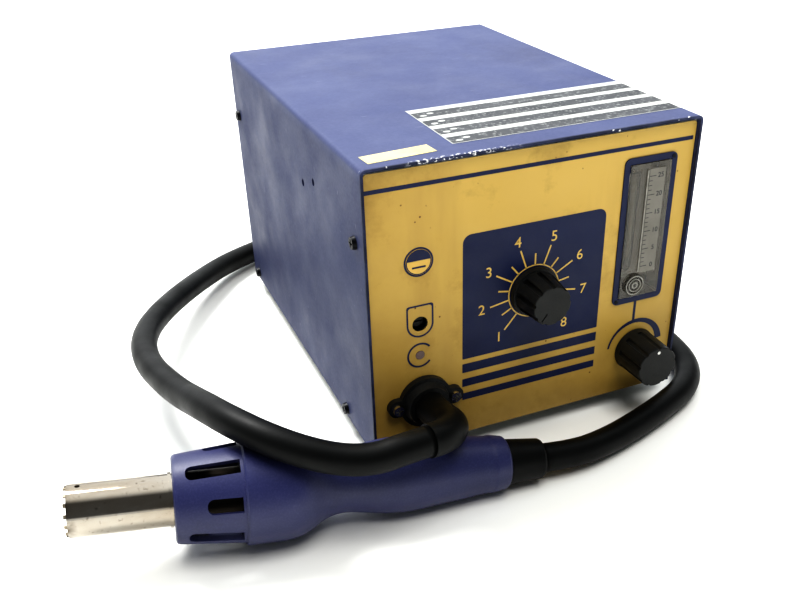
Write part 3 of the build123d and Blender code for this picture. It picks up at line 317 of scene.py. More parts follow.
def spline_points(route):
    """Points read from the NURBS spline that has the route's points as its control points."""
    curve = bpy.data.curves.new("route", "CURVE")
    curve.dimensions = "3D"
    curve.resolution_u = 8
    spline = curve.splines.new("NURBS")
    spline.points.add(len(route) - 1)
    for point, place in zip(spline.points, route):
        point.co = (*place, 1.0)
    spline.order_u = 3
    spline.use_endpoint_u = True
    mesh = curve_mesh(curve)
    points = [vertex.co.copy() for vertex in mesh.vertices]
    bpy.data.meshes.remove(mesh)
    return points


def make_hose(material):
    """The rubber air hose, a tube swept along the spline round a frame that turns with it."""
    path = spline_points(HOSE_ROUTE)
    mesh = bmesh.new()
    rings = []
    side = Vector((0, 0, 1))
    for i, centre in enumerate(path):
        ahead = path[min(i + 1, len(path) - 1)] - path[max(i - 1, 0)]
        ahead.normalize()
        side = (side - ahead * side.dot(ahead)).normalized()
        other = ahead.cross(side)
        verts = []
        for k in range(HOSE_SIDES):
            turn = 2 * pi * k / HOSE_SIDES
            out = side * cos(turn) + other * sin(turn)
            verts.append(mesh.verts.new(centre + out * HOSE_RADIUS))
        rings.append(verts)
    for first, second in zip(rings, rings[1:]):
        for k in range(HOSE_SIDES):
            n = (k + 1) % HOSE_SIDES
            face = mesh.faces.new([first[k], first[n], second[n], second[k]])
            face.smooth = True
    mesh.faces.new(rings[0])
    mesh.faces.new(list(reversed(rings[-1])))
    hose = finish_mesh("air_hose_skin", mesh, material, None)
    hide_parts("air_hose")
    # The elbow's end lies wholly before start and the boot wholly after end, so the blend cuts
    # through neither.
    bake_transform(hose)


# ---- materials ----


def linear(code):
    """An sRGB colour code as linear red, green and blue, and full alpha."""
    values = []
    for start in (1, 3, 5):
        value = int(code[start : start + 2], 16) / 255
        values.append(value / 12.92 if value < 0.04045 else ((value + 0.055) / 1.055) ** 2.4)
    return (*values, 1.0)


class Finish:
    """A node material that is built up step by step."""

    def __init__(self, name):
        self.material = bpy.data.materials.new(name)
        self.material.use_nodes = True
        self.tree = self.material.node_tree
        self.shader = self.tree.nodes["Principled BSDF"]
        self.place = self.node("ShaderNodeTexCoord").outputs["Object"]

    def node(self, kind):
        """A new node of the material."""
        return self.tree.nodes.new(kind)

    def link(self, source, target):
        """Joins an output to an input."""
        self.tree.links.new(source, target)

    def stretched(self, x, y, z):
        """The position with its axes scaled apart, for brushed or dragged marks."""
        mapping = self.node("ShaderNodeMapping")
        mapping.inputs["Scale"].default_value = (x, y, z)
        self.link(self.place, mapping.inputs["Vector"])
        return mapping.outputs["Vector"]

    def noise(self, scale, detail=4.0, rough=0.55, place=None):
        """Soft noise, from 0 to 1 and mostly near 0.5."""
        texture = self.node("ShaderNodeTexNoise")
        texture.inputs["Scale"].default_value = scale
        texture.inputs["Detail"].default_value = detail
        texture.inputs["Roughness"].default_value = rough
        self.link(place or self.place, texture.inputs["Vector"])
        return texture.outputs["Fac"]

    def cells(self, scale, place=None):
        """The distance to the nearest of many scattered points."""
        texture = self.node("ShaderNodeTexVoronoi")
        texture.inputs["Scale"].default_value = scale
        self.link(place or self.place, texture.inputs["Vector"])
        return texture.outputs["Distance"]

    def waves(self, direction, scale, distortion):
        """Even bands across one axis."""
        texture = self.node("ShaderNodeTexWave")
        texture.bands_direction = direction
        texture.inputs["Scale"].default_value = scale
        texture.inputs["Distortion"].default_value = distortion
        self.link(self.place, texture.inputs["Vector"])
        return texture.outputs["Fac"]

    def axis(self, name):
        """One coordinate of the position."""
        split = self.node("ShaderNodeSeparateXYZ")
        self.link(self.place, split.inputs[0])
        return split.outputs[name]

    def step(self, value, low, high, out_low=0.0, out_high=1.0):
        """Value, mapped from low..high to out_low..out_high and held there."""
        ranged = self.node("ShaderNodeMapRange")
        ranged.inputs["From Min"].default_value = low
        ranged.inputs["From Max"].default_value = high
        ranged.inputs["To Min"].default_value = out_low
        ranged.inputs["To Max"].default_value = out_high
        self.link(value, ranged.inputs["Value"])
        return ranged.outputs["Result"]

    def math(self, kind, first, second):
        """Arithmetic on two values; each is a float or an output."""
        made = self.node("ShaderNodeMath")
        made.operation = kind
        for socket, value in zip(made.inputs, (first, second)):
            if isinstance(value, float):
                socket.default_value = value
            else:
                self.link(value, socket)
        return made.outputs[0]

    def times(self, first, second):
        """The product of two values."""
        return self.math("MULTIPLY", first, second)

    def mix(self, share, first, second):
        """A colour between two others; each is a code or another mix."""
        made = self.node("ShaderNodeMix")
        made.data_type = "RGBA"
        self.link(share, made.inputs["Factor"])
        for socket, value in ((made.inputs[6], first), (made.inputs[7], second)):
            if isinstance(value, str):
                socket.default_value = linear(value)
            else:
                self.link(value, socket)
        return made.outputs[2]

    def colour(self, value):
        """Takes an output as the base colour."""
        self.link(value, self.shader.inputs["Base Color"])

    def rough(self, value):
        """Takes an output as the roughness."""
        self.link(value, self.shader.inputs["Roughness"])

    def gloss(self, scale, low, high, detail=4.0):
        """Roughness that wanders between two values."""
        self.rough(self.step(self.noise(scale, detail), 0.3, 0.7, low, high))

    def bump(self, height, distance, strength):
        """Takes an output as relief, distance metres deep."""
        made = self.node("ShaderNodeBump")
        made.inputs["Distance"].default_value = distance
        made.inputs["Strength"].default_value = strength
        self.link(height, made.inputs["Height"])
        self.link(made.outputs["Normal"], self.shader.inputs["Normal"])

    def set(self, **values):
        """Sets the shader's own sockets; an underscore stands for a space."""
        for name, value in values.items():
            self.shader.inputs[name.replace("_", " ")].default_value = value
        return self


def cover_paint():
    """Blue-violet paint, with painted shade darkening the sides and the cut front edge, with
    scratches, and chips along its front edge.
    """
    f = Finish("cover_paint")
    broad = f.step(f.noise(14.0, detail=3.0), 0.36, 0.68)
    base = f.mix(broad, "#505777", "#494F6E")
    smear = f.noise(13.0, detail=7.0, rough=0.68, place=f.stretched(2.2, 1.0, 1.6))
    base = f.mix(f.step(smear, 0.54, 0.8, 0.0, 0.4), base, "#4A4D5F")
    # Painted shade: everything below the top, the sides above all, is darkened and made patchy by
    # noise.
    side = f.step(f.axis("Z"), TOP_Z - 0.0006, TOP_Z - 0.006, 0.0, 0.5)
    patchy = f.step(f.noise(34.0, detail=7.0, rough=0.7), 0.3, 0.7, 0.86, 1.0)
    base = f.mix(f.times(side, patchy), base, "#262A44")
    grain = f.step(f.noise(700.0, detail=2.0), 0.35, 0.65, 0.0, 0.12)
    base = f.mix(grain, base, "#6A6E92")
    drag = f.noise(60.0, detail=2.0, rough=0.5, place=f.stretched(1.0, 14.0, 3.0))
    scratch = f.step(drag, 0.735, 0.76, 0.0, 0.35)
    base = f.mix(scratch, base, "#9A9DB0")
    spot = f.times(f.step(f.cells(30.0), 0.06, 0.03), f.step(f.noise(23.0), 0.56, 0.6))
    base = f.mix(spot, base, "#9BA0A8")
    # Painted shade: a darker strip along the cover's cut front edge, uneven along its length.
    near_front = f.step(f.axis("Y"), COVER_LOW.y + 0.0014, COVER_LOW.y + 0.0004)
    edge_shade = f.step(f.noise(60.0), 0.35, 0.6, 0.2, 0.8)
    base = f.mix(f.times(near_front, edge_shade), base, "#1E2130")
    on_top = f.step(f.axis("Z"), TOP_Z - 0.003, TOP_Z - 0.0008)
    row = f.times(
        f.step(f.axis("X"), COVER_LOW.x + 0.018, COVER_LOW.x + 0.026),
        f.step(f.axis("X"), COVER_LOW.x + 0.072, COVER_LOW.x + 0.05),
    )
    small = f.times(f.step(f.noise(640.0, detail=3.0), 0.54, 0.57), row)
    chipped = f.math("MAXIMUM", f.step(f.noise(190.0, detail=3.0), 0.66, 0.68), small)
    close = f.step(f.axis("Y"), COVER_LOW.y + 0.0026, COVER_LOW.y + 0.0008)
    chips = f.times(f.times(close, on_top), chipped)
    base = f.mix(chips, base, "#E4E5E6")
    f.colour(base)
    f.gloss(40.0, 0.42, 0.62, detail=5.0)
    f.bump(f.noise(620.0, detail=2.0), 0.00006, 0.5)
    return f.set(Specular_IOR_Level=0.14).material


def panel_film():
    """Ochre film, darker and browner towards the foot by painted shade and darker towards its left
    edge, with stains, streaks and small specks.
    """
    f = Finish("panel_film")
    base = f.mix(f.step(f.noise(11.0), 0.35, 0.7), "#CEAE5C", "#C4A453")
    # Painted shade: darker and browner towards the foot, made cloudy by noise.
    low = f.step(f.axis("Z"), 0.08, 0.012, 0.0, 0.6)
    cloudy = f.step(f.noise(26.0, detail=6.0, rough=0.6), 0.35, 0.65, 0.45, 1.0)
    base = f.mix(f.times(low, cloudy), base, "#86672A")
    # Darker and browner towards the left edge.
    worn = f.step(f.axis("X"), COVER_LOW.x + 0.045, COVER_LOW.x + 0.004, 0.0, 0.5)
    base = f.mix(f.times(worn, cloudy), base, "#9C7A34")
    stain = f.step(f.noise(30.0, detail=7.0, rough=0.68), 0.56, 0.78, 0.0, 0.5)
    base = f.mix(stain, base, "#7C6026")
    streak = f.noise(34.0, rough=0.6, place=f.stretched(1.0, 1.0, 0.16))
    base = f.mix(f.step(streak, 0.58, 0.8, 0.0, 0.3), base, "#8C6A2C")
    speck = f.times(f.step(f.cells(210.0), 0.12, 0.06), f.step(f.noise(90.0), 0.57, 0.6))
    base = f.mix(speck, base, "#5E3C1A")
    f.colour(base)
    f.gloss(60.0, 0.36, 0.54)
    f.bump(f.noise(900.0, detail=2.0), 0.00003, 0.4)
    return f.set(Specular_IOR_Level=0.4).material


def plain(name, light, dark, scale, rough_low, rough_high, grain, depth, **more):
    """A finish of two close tones, with its own grain and uneven gloss."""
    f = Finish(name)
    tone = f.mix(f.step(f.noise(scale, detail=5.0), 0.35, 0.68), light, dark)
    fine = f.step(f.noise(grain, detail=2.0), 0.4, 0.72, 0.0, 0.22)
    f.colour(f.mix(fine, tone, more.pop("speckle", light)))
    f.rough(f.step(f.noise(scale * 3.0), 0.3, 0.7, rough_low, rough_high))
    f.bump(f.noise(grain, detail=3.0), depth, 0.6)
    return f.set(**more).material


def metal(name, light, dark, rough_low, rough_high, stretch, scale):
    """Bare or plated metal with drawn or brushed marks along one axis."""
    f = Finish(name)
    along = f.stretched(*stretch)
    streaks = f.noise(scale, detail=5.0, rough=0.6, place=along)
    f.colour(f.mix(f.step(streaks, 0.3, 0.7), light, dark))
    worn = f.noise(scale * 0.4, rough=0.6, place=along)
    f.rough(f.step(worn, 0.3, 0.7, rough_low, rough_high))
    f.bump(streaks, 0.00002, 0.4)
    return f.set(Metallic=1.0).material


def pipe_chrome():
    """Bright tube, browned by heat, with fine pits and dull marks round its mouth, and painted
    shade where it runs inside the guard.
    """
    f = Finish("pipe_chrome")
    mouth_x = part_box("nozzle_pipe")[0].x
    streaks = f.noise(60.0, detail=5.0, rough=0.6, place=f.stretched(0.35, 1.0, 1.0))
    base = f.mix(f.step(streaks, 0.3, 0.7), "#C6C2BA", "#A89F92")
    heat = f.step(f.axis("X"), mouth_x + 0.05, mouth_x + 0.012, 0.15, 0.5)
    base = f.mix(f.times(heat, f.step(f.noise(45.0), 0.3, 0.7, 0.3, 1.0)), base, "#8C7A62")
    pits = f.step(f.noise(420.0, rough=0.6), 0.62, 0.72, 0.0, 0.6)
    base = f.mix(pits, base, "#5C5044")
    mouth = f.step(f.axis("X"), mouth_x + 0.004, mouth_x + 0.0005, 0.0, 0.85)
    base = f.mix(f.times(mouth, f.step(f.noise(160.0), 0.4, 0.6)), base, "#5E554A")
    # Painted shade: the tube is darkened where the guard covers it; it is also rougher there.
    inside = f.step(f.axis("X"), mouth_x + 0.0415, mouth_x + 0.0435)
    base = f.mix(inside, base, "#3A352F")
    f.colour(base)
    worn = f.step(f.noise(70.0, detail=5.0), 0.3, 0.75, 0.06, 0.17)
    f.rough(f.math("MAXIMUM", worn, f.step(inside, 0.0, 1.0, 0.0, 0.5)))
    f.bump(streaks, 0.00002, 0.3)
    return f.set(Metallic=1.0).material


def liner_steel():
    """Thin steel, darkened by heat near the mouth."""
    f = Finish("liner_steel")
    mouth_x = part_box("pipe_liner")[0].x
    base = f.mix(f.step(f.noise(120.0, detail=5.0), 0.3, 0.7), "#B3A892", "#6E655A")
    inside = f.step(f.axis("X"), mouth_x + 0.002, mouth_x + 0.012)
    f.colour(f.mix(inside, base, "#2C2622"))
    f.gloss(200.0, 0.3, 0.55)
    f.bump(f.noise(300.0), 0.00003, 0.5)
    return f.set(Metallic=0.85).material


def grip_plastic():
    """Violet-blue moulded plastic with a fine satin grain and a little hand dirt."""
    f = Finish("grip_plastic")
    base = f.mix(f.step(f.noise(22.0), 0.35, 0.7), "#30335C", "#2A2D50")
    dirt = f.step(f.noise(48.0, detail=6.0, rough=0.65), 0.6, 0.8, 0.0, 0.35)
    base = f.mix(dirt, base, "#20222E")
    fine = f.step(f.noise(1300.0, detail=2.0), 0.45, 0.7, 0.0, 0.14)
    f.colour(f.mix(fine, base, "#585B84"))
    f.gloss(60.0, 0.34, 0.5)
    f.bump(f.noise(1300.0, detail=2.0), 0.00005, 0.6)
    return f.material


def hose_rubber():
    """Black rubber with a soft sheen, fine lengthwise marks and faint dust."""
    f = Finish("hose_rubber")
    base = f.mix(f.step(f.noise(35.0, detail=5.0), 0.35, 0.7), "#090A0A", "#0E0F0F")
    dust = f.step(f.noise(120.0, detail=6.0, rough=0.7), 0.62, 0.85, 0.0, 0.35)
    f.colour(f.mix(dust, base, "#2A2B2B"))
    f.gloss(50.0, 0.36, 0.56, detail=5.0)
    f.bump(f.noise(850.0, detail=3.0), 0.00006, 0.55)
    return f.set(Specular_IOR_Level=0.22).material


def acrylic():
    """Clear acrylic, faintly clouded inside, with fine scratches on its faces."""
    f = Finish("acrylic")
    f.colour(f.mix(f.step(f.noise(40.0), 0.3, 0.7), "#DDD8CC", "#D0CABC"))
    f.rough(f.step(f.noise(150.0), 0.3, 0.75, 0.02, 0.12))
    f.bump(f.noise(400.0), 0.00002, 0.2)
    return f.set(Transmission_Weight=0.93, IOR=1.49).material


def speckled_band():
    """Dark print worn through to the light label in small flecks."""
    f = Finish("speckled_band")
    place = f.stretched(1.0, 0.55, 1.0)
    flecks = f.step(f.noise(680.0, detail=3.0, rough=0.6, place=place), 0.54, 0.62, 0.0, 0.7)
    lines = f.step(f.waves("Y", 150.0, 1.2), 0.35, 0.75, 0.1, 0.8)
    base = f.mix(f.step(f.noise(30.0, detail=5.0), 0.3, 0.7), "#2E3034", "#3E4045")
    base = f.mix(f.times(flecks, lines), base, "#A2A5A4")
    rub = f.step(f.noise(45.0, detail=6.0, rough=0.7), 0.64, 0.74, 0.0, 0.8)
    f.colour(f.mix(rub, base, "#90938F"))
    f.gloss(90.0, 0.35, 0.6)
    f.bump(f.noise(500.0), 0.00003, 0.4)
    return f.material


def laminations():
    """Stacked steel sheets, seen as fine lines under varnish."""
    f = Finish("laminations")
    lines = f.waves("Y", 420.0, 0.4)
    f.colour(f.mix(f.step(lines, 0.2, 0.8), "#5C5A58", "#3B3937"))
    f.gloss(120.0, 0.3, 0.5)
    f.bump(lines, 0.00005, 0.6)
    return f.set(Metallic=0.8).material


def circuit_board():
    """Green laminate with darker tracks showing through the varnish."""
    f = Finish("circuit_board")
    tracks = f.step(f.cells(140.0, f.stretched(1.0, 0.3, 1.0)), 0.3, 0.34)
    base = f.mix(tracks, "#1F6B3A", "#174F2C")
    f.colour(f.mix(f.step(f.noise(300.0), 0.6, 0.7, 0.0, 0.4), base, "#2E8350"))
    f.gloss(120.0, 0.25, 0.45)
    f.bump(tracks, 0.00004, 0.5)
    return f.material


def winding():
    """Yellow tape round a coil, in overlapping turns."""
    f = Finish("winding")
    turns = f.waves("X", 60.0, 0.6)
    f.colour(f.mix(f.step(turns, 0.1, 0.9), "#C49A2C", "#B08724"))
    f.gloss(150.0, 0.35, 0.55)
    f.bump(turns, 0.00008, 0.5)
    return f.material


# Plain finishes: their light and dark tone, the scale of their clouds, their lowest and highest
# roughness, and the scale and depth of their grain.
PLAIN_SLOTS = {
    "black_plastic": ("#1A1B1B", "#212222", 60.0, 0.36, 0.52, 1100.0, 0.00005),
    "black_steel": ("#16171A", "#202124", 90.0, 0.3, 0.46, 800.0, 0.00003),
    "button_cap": ("#DDB75A", "#D0A84C", 70.0, 0.34, 0.5, 900.0, 0.00003),
    "lamp_clear": ("#5A3A30", "#4A2C26", 90.0, 0.1, 0.2, 600.0, 0.00002),
    "card": ("#85827A", "#77746C", 60.0, 0.45, 0.65, 900.0, 0.00003),
    "float_steel": ("#17181B", "#24262A", 200.0, 0.15, 0.3, 900.0, 0.00002),
    "frame_film": ("#131C42", "#172148", 40.0, 0.32, 0.5, 700.0, 0.00002),
    "component": ("#1B1C20", "#2A2C33", 120.0, 0.3, 0.5, 900.0, 0.00004),
    "felt": ("#BDB8A8", "#A9A391", 200.0, 0.85, 0.95, 1400.0, 0.0003),
    "silicone": ("#D2CFC4", "#BFBBAE", 60.0, 0.35, 0.5, 700.0, 0.00003),
    "sticker": ("#CDC292", "#C3B784", 80.0, 0.45, 0.62, 800.0, 0.00003),
    "band_label": ("#B9BBB8", "#A9ABA8", 70.0, 0.3, 0.5, 700.0, 0.00003),
    "ceramic": ("#DAD4C6", "#CCC5B6", 90.0, 0.5, 0.7, 700.0, 0.00005),
}
INKS = {
    "navy_ink": PLAIN_SLOTS["frame_film"],
    "yellow_ink": ("#D9B85C", "#CCA84E", 50.0, 0.34, 0.5, 700.0, 0.00002),
    "dark_ink": ("#23252A", "#2E3036", 80.0, 0.4, 0.55, 700.0, 0.00002),
    # Painted glint: the bright strips and rings on the flow meter stand for light caught in its
    # clear parts.
    "painted_glint": ("#9E9C93", "#75736B", 260.0, 0.12, 0.25, 500.0, 0.00003),
    "white_paint": ("#F1F1EC", "#E4E4DE", 90.0, 0.35, 0.5, 900.0, 0.00002),
    "pale_film": ("#857C6E", "#766E60", 60.0, 0.5, 0.65, 700.0, 0.00002),
}
# What some of them have besides: the tone of their grain, or more of the shader's sockets.
NAVY_MORE = {"speckle": "#1F2A42", "Specular_IOR_Level": 0.3}
PLAIN_MORE = {
    "black_plastic": {"speckle": "#2E2F2E", "Specular_IOR_Level": 0.3},
    "black_steel": {"Metallic": 0.6},
    "lamp_clear": {"Coat_Weight": 0.6},
    "float_steel": {"Metallic": 0.5},
    "frame_film": NAVY_MORE,
    "navy_ink": NAVY_MORE,
    "silicone": {"Subsurface_Weight": 0.3},
    "band_label": {"speckle": "#83878A"},
    "yellow_ink": {"speckle": "#E6C878"},
}
# Metals: their light and dark tone, their lowest and highest roughness, how their marks are
# stretched, and the scale of the marks.
METAL_SLOTS = {
    "zinc": ("#B9BBB8", "#A2A5A2", 0.32, 0.5, (1.0, 1.0, 1.0), 60.0),
    "plated_screw": ("#DCDAD4", "#B8B5AE", 0.14, 0.3, (1.0, 1.0, 1.0), 300.0),
    "aluminium": ("#D5D7D9", "#BFC2C5", 0.25, 0.42, (0.2, 1.0, 1.0), 160.0),
    "brass": ("#C9A45C", "#A98444", 0.2, 0.36, (1.0, 1.0, 1.0), 200.0),
    "heating_wire": ("#7E7468", "#5A524A", 0.35, 0.55, (1.0, 1.0, 1.0), 400.0),
}


def ink(name):
    """The plain finish of a print or a small added piece."""
    return plain(name, *INKS[name], **PLAIN_MORE.get(name, {}))


def slot_finishes():
    """One finish for each material slot of the record."""
    finishes = {
        "cover_paint": cover_paint(),
        "panel_film": panel_film(),
        "rubber_black": hose_rubber(),
        "acrylic": acrylic(),
        "circuit_board": circuit_board(),
        "laminations": laminations(),
        "winding": winding(),
        "pipe_chrome": pipe_chrome(),
        "liner_steel": liner_steel(),
        "grip_plastic": grip_plastic(),
    }
    for name, values in PLAIN_SLOTS.items():
        finishes[name] = plain(name, *values, **PLAIN_MORE.get(name, {}))
    for name, values in METAL_SLOTS.items():
        finishes[name] = metal(name, *values)
    return finishes


def paint_nodes(finishes):
    """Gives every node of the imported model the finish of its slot."""
    for entry in frame["record"]["subparts"]:
        for slot in frame["nodes"][entry["node"]].material_slots:
            slot.material = finishes[entry["material_slot"]]


# ---- the printed front ----


def shield(width, top, foot):
    """The outline of the trimmer's badge: square above and round below."""
    half, corner = width / 2, 1.2
    x = TRIMMER_X
    points = arc(x + half - corner, top - corner, corner, 0, 90, 4)
    points += arc(x - half + corner, top - corner, corner, 90, 180, 4)
    points += arc(x, foot + half, half, 180, 360, 20)
    return points


def air_arc():
    """The arc over the air knob, thin at its left end and broad at its right."""
    x, z = AIR_ARC
    radius, steps = 15.7, 40
    thin, growth = 1.0, 2.6
    outer, inner = [], []
    for step in range(steps + 1):
        share = step / steps
        turn = radians(172 - 164 * share)
        inside = radius - thin - growth * share**1.3
        outer.append((x + radius * cos(turn), z + radius * sin(turn)))
        inner.append((x + inside * cos(turn), z + inside * sin(turn)))
    return between(outer, inner, closed=False)


def knob_hole(square, radius):
    """Points round the heat knob's middle, each opposite the outline's point of the same number."""
    centre = Vector(HEAT)
    return [tuple(centre + (Vector(p) - centre).normalized() * radius) for p in square]


def blue_print(material):
    """Everything printed in dark blue on the overlay."""
    left, right = -35.5, 35.0
    faces = [oblong(-78.2, 134.0, 77.2, 135.8)]
    square = rounded(left, 48.5, right, 109.1, 0.4, 4.0)
    faces += between(square, knob_hole(square, 5.6))
    for low, high in ((41.3, 45.9), (33.8, 37.9), (26.6, 30.2)):
        faces.append(oblong(left, low, right, high))
    faces += between(shield(12.6, 81.1, 65.3), shield(11.0, 80.3, 66.1))
    outer, inner = (arc(*LAMP, radius, 38, 322, 40) for radius in (6.2, 5.3))
    faces += between(outer, inner, closed=False)
    faces += ring(*BUTTON, 6.7, 5.95, 48)
    faces += air_arc()
    faces.append([(55.1, 47.4), (56.5, 47.5), (56.5, 58.0), (55.1, 58.0)])
    printed(
        "front_print_blue", faces, material, body="cabinet",
        place=facing("front_overlay"), lift=0.02, thickness=0.06,
    )


def dial_print(material):
    """The dial's scale in the film's ochre: a thin ring, strokes and plain numbers."""
    x, z = HEAT
    faces = ring(x, z, 12.9, 12.3, 60)
    for k in range(DIAL_STROKES):
        turn = radians(DIAL_START - DIAL_PITCH * k)
        away = Vector((cos(turn), sin(turn)))
        foot, tip = away * STROKE_FOOT, away * (SHORT_STROKE if k % 2 else LONG_STROKE)
        faces.append(stroke(x + foot.x, z + foot.y, x + tip.x, z + tip.y, 0.75))
    for k in range(DIAL_NUMBERS):
        turn = radians(DIAL_START - 2 * DIAL_PITCH * k)
        number_x, number_z = x + NUMBER_REACH * cos(turn), z + NUMBER_REACH * sin(turn)
        faces += digits(str(k + 1), number_x, number_z, NUMBER_HEIGHT)
    printed(
        "front_print_scale", faces, material, body="cabinet",
        place=facing("front_overlay"), lift=0.09, thickness=0.05,
    )


def button_print(material):
    """The print on the button's cap: a ring, a dark upper half and one stroke below it."""
    x, z = BUTTON
    faces = [arc(x, z, 5.3, 8, 172, 32)]
    faces += ring(x, z, 5.7, 5.3, 48)
    faces.append(stroke(x - 3.1, z - 2.3, x + 3.1, z - 2.3, 0.8))
    printed(
        "button_print", faces, material, body="start_key",
        place=facing("start_button"), lift=0.01, thickness=0.05,
    )


# ---- the flow meter and the air knob ----


def meter_print(material):
    """Strokes and plain numbers on the flow meter's card."""
    left, foot, pitch = CARD[0] - 4.1, CARD[1] - 22.0, 2.2
    faces = []
    for k in range(21):
        height = foot + pitch * k
        reach = 1.7 if k % 4 else 3.4
        faces.append(stroke(left, height, left + reach, height, 0.3))
    for k in range(6):
        faces += digits(str(5 * k), CARD[0] + 1.8, foot + 4 * pitch * k, 2.3)
    printed(
        "meter_card_print", faces, material, body="cabinet",
        place=facing("flow_scale"), lift=0.01, thickness=0.03,
    )


def painted_bore_glint(material):
    """A painted highlight: the bright strip where light catches the wall of the bore that the float
    rides in, beside the card.
    """
    faces = [stroke(BORE_X, CARD[1] - 24.5, BORE_X, CARD[1] + 25.0, 0.8)]
    printed(
        "bore_glint_strip", faces, material, body="cabinet",
        place=facing("flow_scale"), lift=0.02, thickness=0.12,
    )


def plug_highlights(material):
    """The clear plug's spiral at the meter's foot, drawn as rings of painted highlight."""
    faces = []
    for outer, inner in ((4.9, 4.35), (3.3, 2.85), (1.7, 1.0)):
        faces += ring(*PLUG, outer, inner, 40)
    printed(
        "plug_highlight_rings", faces, material, body="cabinet",
        place=facing("flow_plug"), lift=0.01, thickness=0.12,
    )


def meter_screws(material):
    """Two small dark screws in opposite corners of the meter's frame."""
    faces = []
    for x, z in FRAME_SCREWS:
        faces += ring(x, z, 0.95, 0.35, 20)
    printed(
        "meter_frame_screws", faces, material, body="cabinet",
        place=facing("flow_frame"), lift=0.01, thickness=0.25,
    )


def meter_backing(material):
    """The pale film behind the clear block."""
    outline = rounded(45.6, 61.6, 66.4, 126.4, 0.8, 0.8)
    printed(
        "meter_backing", [outline], material, body="cabinet",
        place=facing("front_overlay", behind=16.3), lift=0.0, thickness=0.2,
    )


def knob_dot(material):
    """The white dot in the air knob's face."""
    x, z = AIR
    dot = circle(x, z + 7.8, 0.85, 20)
    printed(
        "air_knob_dot", [dot], material, body="air_control",
        place=facing("air_knob", behind=0.4), lift=0.02, thickness=0.3,
    )


# ---- the label ----


def label_bands(dark, light):
    """Four dark speckled bands across the label, each with two light spots at its left end."""
    low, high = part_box("banded_label")
    margin, count = 0.5, 4
    left = (low.x - MIDDLE.x) / MM + margin
    right = (high.x - MIDDLE.x) / MM - margin
    front = (low.y - MIDDLE.y) / MM + margin
    pitch = ((high.y - low.y) / MM - 2 * margin) / count
    bands, spots = [], []
    for k in range(count):
        near = front + pitch * k
        bands.append(oblong(left, near, right, near + pitch * 0.62))
        for step in range(2):
            x = left + 4.0 + 4.2 * step
            y = near + pitch * (0.2 + 0.17 * step)
            spots.append([(x + 1.7 * p, y + 1.1 * q) for p, q in circle(0, 0, 1, 16)])
    printed(
        "label_bands", bands, dark, body="cabinet",
        place=on_label, lift=0.01, thickness=0.04,
    )
    printed(
        "label_spots", spots, light, body="cabinet",
        place=on_label, lift=0.06, thickness=0.02,
    )


# ---- floor and light ----


def make_floor():
    """A plain pale floor, gently uneven in tone."""
    f = Finish("floor")
    f.colour(f.mix(f.step(f.noise(3.0, detail=3.0), 0.3, 0.7), "#F4F4F0", "#EFF0EE"))
    f.gloss(12.0, 0.42, 0.55)
    mesh = bmesh.new()
    bmesh.ops.create_grid(mesh, x_segments=8, y_segments=8, size=4.0)
    data = bpy.data.meshes.new("floor")
    mesh.to_mesh(data)
    mesh.free()
    data.materials.append(f.material)
    floor = bpy.data.objects.new("floor", data)
    bpy.context.scene.collection.objects.link(floor)


def soft_light(name, place, target, size, power, tint, mirrored=True):
    """A large square lamp turned towards a point, which reflections show if it is mirrored."""
    data = bpy.data.lights.new(name, "AREA")
    data.shape = "SQUARE"
    data.size = size
    data.energy = power
    data.color = tint
    lamp = bpy.data.objects.new(name, data)
    lamp.visible_glossy = mirrored
    bpy.context.scene.collection.objects.link(lamp)
    lamp.location = place
    towards = Vector(target) - Vector(place)
    lamp.rotation_euler = towards.to_track_quat("-Z", "Y").to_euler()


def sky_ramp(tree, value, edges, low, high):
    """A soft step in the sky's brightness."""
    ranged = tree.nodes.new("ShaderNodeMapRange")
    ranged.interpolation_type = "SMOOTHSTEP"
    ranged.inputs["From Min"].default_value = edges[0]
    ranged.inputs["From Max"].default_value = edges[1]
    ranged.inputs["To Min"].default_value = low
    ranged.inputs["To Max"].default_value = high
    tree.links.new(value, ranged.inputs["Value"])
    return ranged.outputs["Result"]


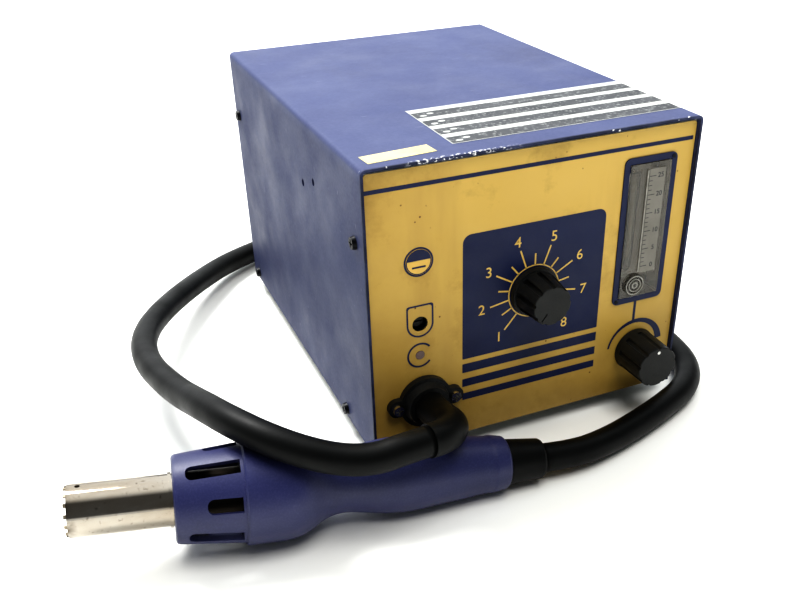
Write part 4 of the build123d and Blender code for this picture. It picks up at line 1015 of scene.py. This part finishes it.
def make_sky():
    """Surroundings bright overhead and behind, dim in front, with a pale band at the horizon."""
    world = bpy.data.worlds.new("studio")
    world.use_nodes = True
    tree = world.node_tree
    sky = tree.nodes["Background"]
    coordinates = tree.nodes.new("ShaderNodeTexCoord")
    toward = tree.nodes.new("ShaderNodeVectorMath")
    toward.operation = "DOT_PRODUCT"
    toward.inputs[1].default_value = SKY_TOWARDS
    tree.links.new(coordinates.outputs["Generated"], toward.inputs[0])
    broad = sky_ramp(tree, toward.outputs["Value"], SKY_EDGE, SKY_LOW, SKY_HIGH)
    split = tree.nodes.new("ShaderNodeSeparateXYZ")
    tree.links.new(coordinates.outputs["Generated"], split.inputs[0])
    band = sky_ramp(tree, split.outputs["Z"], HORIZON_EDGE, 0.0, HORIZON_STRENGTH)
    both = tree.nodes.new("ShaderNodeMath")
    both.operation = "MAXIMUM"
    tree.links.new(broad, both.inputs[0])
    tree.links.new(band, both.inputs[1])
    tree.links.new(both.outputs[0], sky.inputs["Strength"])
    sky.inputs["Color"].default_value = SKY_TINT
    bpy.context.scene.world = world


def make_light():
    """A pale room with a broad lamp overhead and behind, and a soft one in front."""
    make_sky()
    soft_light(
        "key",
        place=(-0.4, 0.9, 1.6),
        target=(0.05, 0.0, 0.05),
        size=0.7,
        power=32.0,
        tint=(1.0, 0.99, 0.97),
    )
    soft_light(
        "front",
        place=(0.1, -0.7, 1.8),
        target=(0.05, 0.0, 0.0),
        size=1.0,
        power=20.0,
        tint=(1.0, 0.98, 0.94),
        mirrored=False,
    )
    scene = bpy.context.scene
    scene.view_settings.view_transform = "Standard"
    scene.view_settings.look = "High Contrast"


# ---- putting it together ----

make_camera()
FINISHES = slot_finishes()
make_hose(FINISHES["rubber_black"])
paint_nodes(FINISHES)
NAVY = ink("navy_ink")
# A pale finish for the painted highlights of the flow meter's bore and plug.
GLINT_FINISH = ink("painted_glint")
blue_print(NAVY)
dial_print(ink("yellow_ink"))
button_print(NAVY)
meter_print(ink("dark_ink"))
meter_screws(FINISHES["black_steel"])
painted_bore_glint(GLINT_FINISH)
plug_highlights(GLINT_FINISH)
knob_dot(ink("white_paint"))
label_bands(speckled_band(), FINISHES["band_label"])
meter_backing(ink("pale_film"))
make_floor()
make_light()
